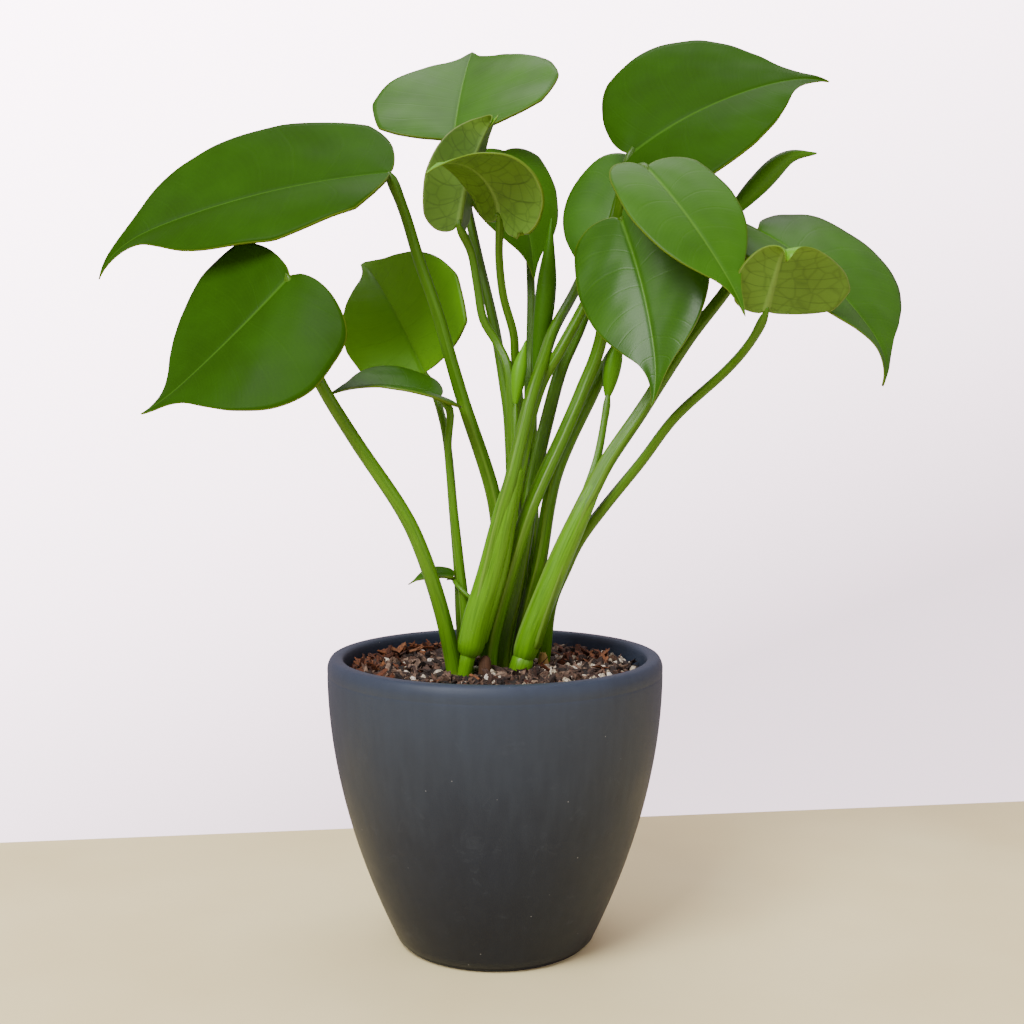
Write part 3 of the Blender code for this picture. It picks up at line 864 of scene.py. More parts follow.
BLADES = {
    # The three blades that face the key lamp most take the darker upper skin, whose colours are painted shade
    "upper_left": Blade((-51, 5, 246), (-198, 21, 196), (5, 60), (47, 49), (0, 0.1), 20, 40, -10, -10, 20,
                        (20, 15), (-40, -5), skin="shade_painted"),
    "left": Blade((-95, -30, 193), (-163, -38, 130), (-15, 30), (52, 46), (0.6, 0.3), -5, -15, 5, 5, -20,
                  (5, 0), (-30, -5), skin="shade_painted"),
    # centre_left's high tone paints light on a leaf that stands in shade
    "centre_left": Blade((-37, 45, 150), (-75, 92, 210), (-10, 5), (32, 42), (0.1, 0), 25, 25, -15, -25, -10,
                         (15, 25), (-10, -5), tone=0.95),
    "edge_left": Blade((-27, 2, 138), (-81, -10, 138), (-10, 75), (32, 30), (1, 0.3), 40, 5, -5, 0, -5,
                       (15, 15), (-15, -15)),
    "top": Blade((-22, 50, 270), (-14, 120, 331), (-10, 45), (46, 57), (0.15, 0.15), 5, 0, 5, 0, 0,
                 (20, 25), (-25, -20)),
    "folded": Blade((-18, 14, 222), (-4, 8, 267), (185, 20), (20, 21), (0.4, 0.5), 5, 210, -30, 0, 0,
                    (75, 10), (-10, -20), 15, 0.74, 0.66, tone=0.0, tip_tone=1.0, ripple=0.5),
    "arching": Blade((3, -3, 225), (-32, -29, 240), (127, 66), (36, 20), (1.5, 0.4), 125, 0, 0, 0, 0,
                     (10, 10), (-20, -20), tone=0.5, tip_tone=0.5, ripple=0.6),
    "mid_back": Blade((4, 57, 265), (20, 42, 197), (34, 15), (23, 35), (0.1, 0.1), 20, 0, 10, 0, 0,
                      (10, 10), (-10, -10), tone=0.25),
    "behind": Blade((71, 38, 252), (43, 30, 190), (-35, 25), (32, 30), (0.8, 0.8), 20, 0, 0, 0, 0,
                    (10, 10), (-10, -10)),
    "heart_back": Blade((60, -10, 222), (71, -52, 133), (-20, 20), (35, 31), (0.7, 0.4), 20, 0, 20, 20, 5,
                        (15, 0), (-10, -20), ripple=1.1, skin="glossy"),
    "heart_front": Blade((70, -35, 242), (109, -78, 172), (10, 30), (27, 23), (0.3, 0.8), 30, 10, -5, 5, 0,
                         (5, 5), (-10, -20)),
    "upper_right": Blade((67, 15, 257), (162, 9, 290), (0, 35), (53, 44), (0.45, 1), 45, 5, 5, 25, 15,
                         (5, 10), (-5, -15), skin="shade_painted"),
    "right": Blade((127, -5, 217), (177, -47, 142), (40, 40), (47, 33), (0.5, 1), 35, 55, 0, 0, 10,
                   (15, 10), (-5, -35)),
    "underside": Blade((120, -62, 175), (124, -76, 198), (185, 30), (36, 17), (0.1, 0.2), 5, 200, 0, 0, 0,
                       (15, 20), (-25, -30), 15, 0.66, 0.56, tone=0.4, tip_tone=0.9, ripple=0.6),
    "tiny": Blade((-21, -1, 50), (-43, -2, 46), (0, 70), (6, 6), (0.4, 0.4), 50, 0, 0, 0, 0, (20, 20), (0, 0),
                  ripple=0.3),
}


# ---- Stalks, sheaths and rolled leaves


@dataclass(frozen=True)
class Tube:
    """A tube along a smooth route, whose cross-section can change along it and around it."""

    route: tuple  # millimetres from the crown
    sides: int = 28
    step: float = 3 * MM  # distance between rings

    MOST_RINGS = 96
    FEWEST_RINGS = 12
    END_STEP = 0.25 * MM  # distance of the first of two rings that round each end

    def places(self) -> tuple[np.ndarray, np.ndarray, np.ndarray, np.ndarray, float]:
        """Return the rings' centres, two cross directions, and shares of the length, and the length.

        Returns:
            Arrays with one row to a ring, and the length in metres.
        """
        points = crown_points(self.route)
        fine = even_line(points, np.linspace(0, 1, 400))
        length = float(np.linalg.norm(np.diff(fine, axis=0), axis=1).sum())
        rings = int(min(self.MOST_RINGS, max(self.FEWEST_RINGS, length / self.step)))
        shares = np.linspace(0, 1, rings - 4)
        near = self.END_STEP / length
        shares = np.sort(np.concatenate([shares, [near, near * 4, 1 - near, 1 - near * 4]]))
        centres = even_line(points, shares)
        aheads = unit(np.gradient(centres, axis=0))
        inward = np.array((0, 0, centres[:, 2].mean())) - centres.mean(axis=0)
        across = inward + (0.001, 0.002, 0)
        crosses = []
        for ahead in aheads:
            across = unit(across - ahead * (across @ ahead))
            crosses.append(across)
        crosses = np.array(crosses)
        return centres, crosses, np.cross(aheads, crosses), shares, length

    def shape(self, radius: Callable, around: Callable) -> bpy.types.Object:
        """Make the tube.

        Args:
            radius: function of the share of the length and the whole length, giving metres.
            around: function of the angle and the share, giving the radius as a share.

        Returns:
            The object, with its `skin` attribute set to (cos, sin, millimetres along).
        """
        centres, crosses, beyonds, shares, length = self.places()
        piece = tube_piece(self.sides, len(shares))
        unit_tube = places_of(piece)
        ring = unit_tube[:, 2].astype(int)
        angle = np.arctan2(unit_tube[:, 1], unit_tube[:, 0])
        share = shares[ring]
        wide = radius(share, length) * around(angle, share)
        ends = np.minimum(share, 1 - share) * length / np.maximum(wide, 1e-6)
        wide = wide * np.sqrt(np.clip(1 - (1 - np.clip(ends, 0, 1)) ** 2, 0.2, 1))
        moved = centres[ring] + crosses[ring] * (wide * np.cos(angle))[:, None]
        move_to(piece, moved + beyonds[ring] * (wide * np.sin(angle))[:, None])
        mark(piece, "skin", np.stack([np.cos(angle), np.sin(angle), share * length / MM], axis=1))
        return piece


@dataclass(frozen=True)
class Stalk:
    """One leaf stalk, from its blade down: a knee under the blade, a channelled neck, and a winged foot."""

    route: tuple
    upper: float  # radius under the blade, millimetres
    lower: float  # radius at the foot
    tone: float = 0.0  # how dark it is

    KNEE = 9.0  # millimetres from the stalk's end to the middle of its swollen knee
    KNEE_SPAN = 5.0
    KNEE_SWELL = 0.16  # how much thicker the knee is, as a share of the radius
    END_SPAN = 4.0  # millimetres over which the hidden end slims down
    END_SLIM = 0.6
    CHANNEL = 0.16  # depth of the channel, as a share of the radius
    CHANNEL_HALF = 0.5  # radians
    FLUTES = 9
    FLUTE_DEPTH = 0.012
    UNDER = 1.7  # millimetres from the blade's upper side to the stalk's middle
    RUN_IN = 3.0  # millimetres that it runs along under the midrib
    PAINTED = 230 * MM  # height over the soil at which the skin has its upper colour
    LIP = 0.75  # radians from the channel's middle to each lip

    def radius(self, share: np.ndarray, length: float) -> np.ndarray:
        """Return the radius along the stalk, in metres.

        Args:
            share: shares of the length, from the blade down.
            length: the whole length in metres.

        Returns:
            One radius for each share.
        """
        down_mm = share * length / MM
        plain = self.upper + (self.lower - self.upper) * share
        knee = self.KNEE_SWELL * np.exp(-(((down_mm - self.KNEE) / self.KNEE_SPAN) ** 2))
        end = self.END_SLIM * np.exp(-((down_mm / self.END_SPAN) ** 2))
        return plain * (1 + (knee - end)) * MM

    def around(self, angle: np.ndarray, share: np.ndarray) -> np.ndarray:
        """Return the cross-section: a shallow channel with a lip at each side of it, and faint flutes.

        Args:
            angle: radians from the middle of the channel.
            share: shares of the length.

        Returns:
            One share of the radius for each point.
        """
        wing = smooth_step(share, 0.25, 0.6)
        channel = self.CHANNEL * np.exp(-((angle / self.CHANNEL_HALF) ** 2))
        lips = (0.05 + 0.07 * wing) * np.exp(-(((np.abs(angle) - self.LIP) / 0.2) ** 2))
        return 1 - channel + lips + self.FLUTE_DEPTH * np.sin(self.FLUTES * angle)

    def build(self, name: str, finish: bpy.types.Material, slot: Slot = Slot.STALK,
              blade: Blade | None = None) -> None:
        """Make the stalk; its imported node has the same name.

        Args:
            name: the stalk's name.
            finish: its skin.
            slot: the record's material slot.
            blade: the blade it carries, whose midrib it runs into from below.
        """
        route = self.route
        if blade:
            base, under = np.array(blade.base, float), blade.facing() * self.UNDER
            ahead = unit(np.array(blade.tip) - base)
            route = (tuple(base - under + ahead * self.RUN_IN), tuple(base - under), *route[1:])
        piece = Tube(route).shape(self.radius, self.around)
        self.dress(piece, finish)
        settle(piece, "skin_" + name, slot, name)

    def dress(self, piece: bpy.types.Object, finish: bpy.types.Material) -> None:
        """Mark height, lips and tone for the finish, and shade the mesh.

        Args:
            piece: the stalk's mesh.
            finish: its skin.
        """
        skin = marked(piece, "skin")
        angle = np.arctan2(skin[:, 1], skin[:, 0])
        heights = (places_of(piece)[:, 2] - CROWN[2]) / self.PAINTED
        lips = 0.5 * np.exp(-(((np.abs(angle) - self.LIP) / 0.13) ** 2)) * smooth_step(1 - heights, 0.3, 0.8)
        tone = np.full(len(heights), self.tone)
        mark(piece, "edges", np.stack([np.clip(heights, 0, 1), lips, tone], axis=1))
        piece.data.materials.append(finish)
        finish_mesh(piece)


@dataclass(frozen=True)
class Sheath(Stalk):
    """A thick lower shoot: an old stalk's foot wrapped around younger ones, with its margins overlapping."""

    MARGIN_START = 2.2  # radians round the sheath where the free margin starts at its top
    MARGIN_TURN = 1.1  # radians that it winds back by at the foot
    MARGIN_STEP = 0.09  # height of its edge, as a share of the radius
    RIBS = 5
    RIB_HEIGHT = 0.02

    def radius(self, share: np.ndarray, length: float) -> np.ndarray:
        """Return the radius along the sheath, in metres: slim where it lets go of its stalks, full below."""
        plain = self.upper + (self.lower - self.upper) * smooth_step(share, -0.25, 0.6)
        return plain * (1 + 0.03 * np.sin(share * 9.0)) * MM

    def around(self, angle: np.ndarray, share: np.ndarray) -> np.ndarray:
        """Return the cross-section: a step where one margin overlaps the other, winding slowly.

        Args:
            angle: radians around the sheath.
            share: shares of the length.

        Returns:
            One share of the radius for each point.
        """
        turned = (angle - self.MARGIN_START + share * self.MARGIN_TURN) % (2 * math.pi)
        step = self.MARGIN_STEP * (1 - turned / (2 * math.pi))
        return 1 + step + self.RIB_HEIGHT * np.sin(self.RIBS * angle)


@dataclass(frozen=True)
class Furl:
    """A leaf that is still rolled up: a spindle wound from one sheet, with its free margin showing."""

    route: tuple
    radius: float
    turns: float = 0.55  # how far the free margin winds around it
    tone: float = 0.5

    MARGIN_START = 4.0  # radians round the spindle where the free margin starts at the foot
    MARGIN_STEP = 0.2  # height of its edge, as a share of the radius

    def swell(self, share: np.ndarray, length: float) -> np.ndarray:
        """Return the radius along the spindle, in metres."""
        body = np.sin(math.pi * np.clip(0.07 + 0.9 * share, 0, 1)) ** 0.85
        return self.radius * MM * body * (1 - 0.35 * smooth_step(share, 0.55, 1))

    def wound(self, angle: np.ndarray, share: np.ndarray) -> np.ndarray:
        """Return how far round from the free margin each point is, in radians."""
        return (angle - self.MARGIN_START - share * self.turns * 2 * math.pi) % (2 * math.pi)

    def around(self, angle: np.ndarray, share: np.ndarray) -> np.ndarray:
        """Return the cross-section: a step of one sheet's thickness at the free margin."""
        step = self.MARGIN_STEP * (1 - self.wound(angle, share) / (2 * math.pi))
        return 1 + step - self.MARGIN_STEP / 2

    def build(self, name: str, finish: bpy.types.Material) -> None:
        """Make the rolled leaf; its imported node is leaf_ and its name.

        Args:
            name: the leaf's own name.
            finish: its skin.
        """
        piece = Tube(self.route, sides=40, step=1.2 * MM).shape(self.swell, self.around)
        skin = marked(piece, "skin")
        angle, along = np.arctan2(skin[:, 1], skin[:, 0]), skin[:, 2]
        share = along / along.max()
        turned = self.wound(angle, share)
        mark(piece, "edges", np.stack([4 + turned * 2, turned * self.radius, turned], axis=1))
        piece.data.attributes.remove(piece.data.attributes["skin"])
        tone = np.full(len(share), self.tone)
        line = share + 0.12 * turned / (2 * math.pi)
        mark(piece, "skin", np.stack([line, np.full(len(share), 0.5), tone], axis=1))
        piece.data.materials.append(finish)
        finish_mesh(piece, angle=60)
        settle(piece, "rolled_" + name, Slot.LEAF, "leaf_" + name)


STALKS = {
    "upper_left": Stalk(((-50.4, 5.6, 244.6), (-44, 8, 227), (-37, 8, 204), (-28, 6, 178), (-16, 4, 137),
                         (-1, 6, 90), (2, 8, 57), (-1, 11, 21), (-4, 12, -12)), 2.5, 4.2, 0.25),
    "left": Stalk(((-93.5, -28.5, 190), (-88, -24, 162), (-82, -22, 144), (-66, -20, 117), (-45, -18, 85),
                   (-35, -17, 64), (-26, -13, 35), (-20, -10, 6), (-20, -10, -10)), 2.6, 4.1),
    "centre_left": Stalk(((-36.4, 46, 149), (-31, 42, 138), (-25, 30, 116), (-21, 13, 81), (-18, 4, 49),
                          (-17, 0, 28), (-14, 0, -12)), 1.9, 2.8),
    "edge_left": Stalk(((-26, 1.5, 136.6), (-22, 2, 130), (-23, 0, 113), (-21, -2, 90), (-17, -4, 54),
                        (-15, -6, 36), (-12, -6, -11)), 1.8, 2.6),
    "top": Stalk(((-21.6, 51, 268.6), (-16, 46, 241), (-9, 40, 209), (-1, 33, 175), (4, 28, 146),
                  (7, 24, 121), (8, 17, 76), (4, 18, 25), (2, 19, -13)), 2.3, 3.2),
    "folded": Stalk(((-18, 14.4, 221), (-12, 18, 209), (-9, 18, 193), (-6, 17, 176), (1, 16, 164),
                     (7, 10, 149), (8, 8, 121), (10, 10, 76), (10, 16, 25), (10, 17, -12)), 2.0, 2.8),
    "arching": Stalk(((3, -2.5, 224), (2, 4, 206), (4, 9, 187), (9, 14, 169), (10, 17, 155), (13, 20, 121),
                      (14, 24, 75), (13, 25, 24), (12, 26, -13)), 1.9, 2.8),
    "mid_back": Stalk(((4.5, 58.5, 264), (15, 64, 236), (18, 60, 202), (18, 46, 171), (17, 36, 151),
                       (17, 32, 121), (18, 31, 75), (19, 31, 23), (19, 31, -12)), 1.9, 3.0),
    "behind": Stalk(((70.6, 41, 251), (55, 52, 222), (40, 36, 191), (29, 12, 171), (23, -2, 154),
                     (17, -12, 136), (11, -17.5, 112), (7.5, -20, 97), (2.5, -20.5, 80), (-3.5, -20.5, 55),
                     (-9, -20.5, 31), (-11, -19, 18)), 2.3, 3.7),
    "heart_back": Stalk(((60, -8, 221), (52, 2, 199), (42, 4, 179), (31, 0, 159), (23, 0, 145),
                         (17, -6, 127), (13.5, -13, 110), (10.5, -16, 97), (8, -16.5, 84), (3, -17, 55),
                         (-4, -17.5, 31), (-8, -17, 18)), 2.3, 3.7),
    "heart_front": Stalk(((70, -33.5, 241.2), (67, -19, 243), (62, -4, 238), (59, 5, 212), (52, 7, 166),
                          (43, 6, 141), (33, 0, 118), (23, -6, 97), (15, -10, 78), (6, -9, 49), (-2, -7, 18),
                          (-4, -7, -11)), 2.6, 4.2, 0.1),
    "upper_right": Stalk(((67, 16.5, 256), (56, 20, 215), (43, 18, 175), (33, 16, 152), (26, 13, 127),
                          (19, 8, 97), (15, 4, 70), (10, 3, 43), (4, 3, 16), (2, 3, -13)), 2.5, 4.4, 0.45),
    "furled_right": Stalk(((113, 1.2, 224), (91, 12, 195), (72, 18, 176), (58, 20, 158), (47, 17, 136),
                           (37, 13, 116), (30, 9, 99), (26, 5, 82), (22, 3, 57), (17, 6, 37), (13, 8, 16),
                           (10, 9, -13)), 2.5, 4.0),
    "right": Stalk(((126.4, -4, 216), (120, 0, 203), (112, 1, 189), (95, 0, 167), (81, -1, 146),
                    (70, -3, 129), (55, -4.5, 107), (47, -6, 92), (42, -7, 83), (33, -8, 61), (25, -9, 39),
                    (19.5, -9, 22), (17.5, -8.5, 14)), 2.6, 4.7, 0.1),
    "underside": Stalk(((120, -62.5, 174), (115, -55, 162), (106, -39, 149), (86, -17, 128), (71, -4, 106),
                        (54, 2, 84), (42, 6, 67), (35, 9, 52), (28, 12, 34), (25, 14, 10), (23, 14, -13)),
                       2.0, 3.2, 0.3),
    "small": Stalk(((56, 9.8, 141.5), (54, 7, 128), (50, 1.5, 108), (44.5, -3, 92), (39, -5, 78)), 1.7, 2.6),
    "spear": Stalk(((20, 22, 151), (19, 24, 131), (19, 24, 101), (20, 23, 65), (22, 22, 24), (21, 22, -12)),
                   2.0, 2.8),
    "bud": Stalk(((10, -3.5, 136), (10, -8, 117), (11, -8.5, 101)), 1.4, 1.9),
    "tiny": Stalk(((-21, -2, 49.4), (-18, -9.5, 46), (-11, -13.6, 40)), 0.9, 1.1),
}

SHEATHS = {
    "front": Sheath(((11, -17, 106), (5, -18, 84), (-2, -18, 55), (-9, -18.5, 31), (-13, -18, 12)), 2.8, 6.0),
    "right": Sheath(((51, -4, 102), (42.5, -6, 83), (32.5, -7, 61), (23.5, -8, 39), (17, -8, 22),
                     (13, -8, 8)), 2.8, 5.7),
}
STEM_RADII = {"front": (3.8, 3.1), "right": (5.4, 5.0)}
STEM_ROOTED = -13
STUMP = Sheath(((-4.5, -16, 13), (-4.8, -17, 3), (-4.5, -17, -8)), 2.6, 3.2)

FURLS = {
    "furled_right": Furl(((111.5, 1.3, 222.5), (127, 4, 239), (142, 7, 253), (157, 10, 256)), 5.2, 0.35),
    "small": Furl(((55.4, 9.5, 137), (58.5, 11, 155), (62, 12, 170)), 4.4, 0.5, 0.6),
    "spear": Furl(((20, 22, 149), (25, 21, 185), (28, 20, 226)), 5.0, 0.3, 0.2),
    "bud": Furl(((10, -4, 133.5), (12, -1, 150), (15, 1, 165)), 3.6, 0.5, 0.9),
}


@dataclass(frozen=True)
class Plant:
    """All that grows: blades, rolled leaves, stalks, sheaths and their short stems."""

    scrap_wall: float = 0.35 * MM
    scrap_sunk: float = 1 * MM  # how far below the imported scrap's foot the dry scrap starts
    scrap_cup: float = 1.2 * MM
    scrap_lean: float = 1.5 * MM

    def finishes(self) -> dict[str, bpy.types.Material]:
        """Return the plant's finishes by name.

        Returns:
            One material for each name.
        """
        upper = BladeSkin(
            "waxy_upper_leaf_skin", deep="#234a00", plain="#2d5a00", young="#589208", vein="#44701a",
            rib="#588628", margin="#5c7020", vein_strength=0.09, net_strength=0.0, fine_strength=0.07,
            rib_width=0.9, rib_strength=0.42, roughness=0.4, wax=0.17)
        glossy = replace(upper, name="glossy_upper_leaf_skin", deep="#1e4204", plain="#2a5208",
                         roughness=0.3, wax=0.18)
        # A darker copy of the upper skin for the blades that face the key lamp most: its deeper colours are
        # painted shade, and its low wax keeps their reflections weak
        shade_painted = replace(upper, name="shade_painted_upper_leaf_skin", deep="#153200", plain="#1c3f00", vein="#2e5608",
                        rib="#4c7a20", roughness=0.46, wax=0.05)
        under = BladeSkin(
            "dull_leaf_underside", deep="#40601a", plain="#4c6e20", young="#5a7e26", vein="#30480e",
            rib="#68863a", margin="#748044", vein_strength=0.6, net_strength=0.4, fine_strength=0.05,
            rib_width=1.1, rib_strength=0.6, roughness=0.55, wax=0.25)
        stalk = StalkSkin("striped_stalk_skin", "#6f8030", "#4f8000", "#3c6002", "#2c5000", "#93b054")
        sheath = StalkSkin("pale_sheath_skin", "#70842c", "#599000", "#4c7c02", "#386400", "#a8bc70", 0.34)
        husk = StalkSkin("dry_papery_husk", "#4a3018", "#a08040", "#b09858", "#6a4a24", "#c8b880", 0.8)
        dead = StalkSkin("dead_brown_sheath_skin", "#2a190e", "#4e3420", "#5e4028", "#2e1c10", "#8a6a48", 0.8)
        named = {"upper": upper, "glossy": glossy, "shade_painted": shade_painted, "under": under, "stalk": stalk,
                 "sheath": sheath, "husk": husk, "dead": dead}
        return {name: finish.make() for name, finish in named.items()}

    def build(self) -> None:
        """Make every piece of the plant."""
        finish = self.finishes()
        for seed, (name, blade) in enumerate(BLADES.items()):
            blade.build(name, finish[blade.skin], finish["under"], seed)
        for name, furl in FURLS.items():
            furl.build(name, finish["upper"])
        for name, stalk in STALKS.items():
            stalk.build("stalk_" + name, finish["stalk"], blade=BLADES.get(name))
        for name, sheath in SHEATHS.items():
            sheath.build("sheath_" + name, finish["sheath"])
            foot, before = np.array(sheath.route[-1], float), np.array(sheath.route[-2], float)
            ahead = unit(foot - before)
            root = foot + ahead * (STEM_ROOTED - foot[2]) / ahead[2]
            stem = Sheath((tuple(foot - ahead * 6), tuple((foot + root) / 2), tuple(root)), *STEM_RADII[name])
            stem.build("stem_" + name, finish["sheath"])
        STUMP.build("dead_stump", finish["dead"], Slot.HUSK)
        self.build_scrap(finish["husk"])

    def build_scrap(self, husk: bpy.types.Material) -> None:
        """Make the scrap of dry sheath: a thin leaf of papery husk, cupped and frayed at its top.

        Args:
            husk: the finish of dry husk.
        """
        low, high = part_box("dry_sheath")
        piece = grid_piece(16, 24)
        flat = places_of(piece)
        across, rise = flat[:, 0], (flat[:, 1] + 1) / 2
        wide = (high.x - low.x) * 0.5 * (1 - 0.5 * rise ** 2)
        frayed = 1 - 0.12 * np.abs(np.sin(across * 7)) * smooth_step(rise, 0.8, 1)
        x = (low.x + high.x) / 2 - 0.6 * MM * rise + across * wide
        y = (low.y + high.y) / 2 + self.scrap_cup * across ** 2 - self.scrap_lean * rise ** 2
        z = low.z - self.scrap_sunk + (high.z - low.z + self.scrap_sunk) * rise * frayed
        move_to(piece, np.stack([x, y, z], axis=1))
        mark(piece, "skin", np.stack([across, across * 0, rise * 8], axis=1))
        mark(piece, "edges", np.stack([0.3 + 0.6 * rise, across * 0, across * 0], axis=1))
        piece.data.materials.append(husk)
        wall = piece.modifiers.new("thickness", "SOLIDIFY")
        wall.thickness = self.scrap_wall
        apply_modifiers(piece)
        finish_mesh(piece)
        settle(piece, "scrap_dry_sheath", Slot.HUSK, "dry_sheath")


# ---- Pot


@dataclass(frozen=True)
class Pot:
    """The moulded pot: a turned shell, drawn up ring by ring, with drain holes through its floor."""

    sides: int = 144
    foot_radius: float = 47.5 * MM
    flare_top: float = 135 * MM
    flare_power: float = 1.9
    rim_wall: float = 8 * MM
    side_wall: float = 6 * MM
    floor: float = 7 * MM
    foot_round: float = 3 * MM
    rim_chamfer: float = 4.6 * MM
    groove: float = 0.12 * MM  # depth of the fine line under the rim band
    drain_radius: float = 5 * MM
    drain_circle: float = 25 * MM
    drains: int = 4

    def outer(self, height: float) -> float:
        """Return the outside radius at a height."""
        return self.foot_radius + (RIM_RADIUS - self.foot_radius) * (1 - (1 - min(height / self.flare_top, 1))
                                                                     ** self.flare_power)

    def profile(self) -> list[tuple[float, float]]:
        """Return the section as (radius, height), from the underside's edge, over the rim, to the floor.

        Returns:
            The points in order, in metres.
        """
        foot = self.foot_round
        points = [(self.foot_radius - foot * (1 - math.sin(a)), foot * (1 - math.cos(a)))
                  for a in (math.radians(15 * i) for i in range(6))]
        neck = POT_HEIGHT - self.rim_chamfer
        heights = np.concatenate([np.linspace(foot * 1.1, neck - 0.5 * MM, 44),
                                  self.flare_top + np.array((-1.2, -0.7, -0.4, 0, 0.4, 0.9)) * MM])
        points += [(self.outer(h) - self.groove * math.exp(-(((h - self.flare_top) / (0.6 * MM)) ** 2)), h)
                   for h in sorted(heights)]
        points += [(RIM_RADIUS - inward * MM, POT_HEIGHT - down * MM) for inward, down in
                   ((0.15, 4.0), (0.4, 3.1), (0.75, 2.2), (1.2, 1.3), (1.8, 0.55), (2.6, 0.12), (3.6, 0))]
        inner = RIM_RADIUS - self.rim_wall
        points += [(inner + 1.6 * MM, POT_HEIGHT - 0.1 * MM), (inner + 0.6 * MM, POT_HEIGHT - 0.7 * MM),
                   (inner + 0.1 * MM, POT_HEIGHT - 1.8 * MM)]
        points += [(min(inner, self.outer(h) - self.side_wall), h)
                   for h in np.linspace(POT_HEIGHT - 3.6 * MM, self.floor, 20)]
        return points

    def build(self) -> None:
        """Make the pot from a disc, by extruding its edge and resizing each new ring."""
        start_clean()
        profile = self.profile()
        bpy.ops.mesh.primitive_circle_add(vertices=self.sides, radius=profile[0][0], fill_type="NGON")
        pot = bpy.context.object
        bpy.ops.object.mode_set(mode="EDIT")
        bpy.ops.mesh.select_all(action="SELECT")
        for (radius, height), (wider, higher) in zip(profile, profile[1:]):
            bpy.ops.mesh.extrude_region_move(TRANSFORM_OT_translate={"value": (0, 0, higher - height)})
            scale = wider / radius
            bpy.ops.transform.resize(value=(scale, scale, 1), center_override=(0, 0, higher))
        bpy.ops.mesh.select_all(action="SELECT")
        bpy.ops.mesh.normals_make_consistent(inside=False)
        bpy.ops.object.mode_set(mode="OBJECT")
        self.cut_drains(pot)
        pot.data.materials.clear()
        pot.data.materials.append(MouldedPlastic().make())
        finish_mesh(pot, angle=40)
        settle(pot, "moulded_pot", Slot.PLASTIC, "pot")

    def cut_drains(self, pot: bpy.types.Object) -> None:
        """Cut the drain holes through the pot's floor.

        Args:
            pot: the closed shell.
        """
        for drain in range(self.drains):
            turn = 2 * math.pi * drain / self.drains
            place = (self.drain_circle * math.cos(turn), self.drain_circle * math.sin(turn), self.floor / 2)
            start_clean()
            bpy.ops.mesh.primitive_cylinder_add(vertices=40, radius=self.drain_radius, depth=self.floor * 2,
                                                location=place)
            cutter = bpy.context.object
            hole = pot.modifiers.new(f"drain_{drain}", "BOOLEAN")
            hole.object = cutter
            hole.solver = "EXACT"
            apply_modifiers(pot)
            bpy.data.objects.remove(cutter)


# ---- Potting mix


class CrumbShape(Enum):
    """Shapes that the crumbs of the mix are made from."""

    CHIP = "chip"
    GRAIN = "grain"
    FIBRE = "fibre"


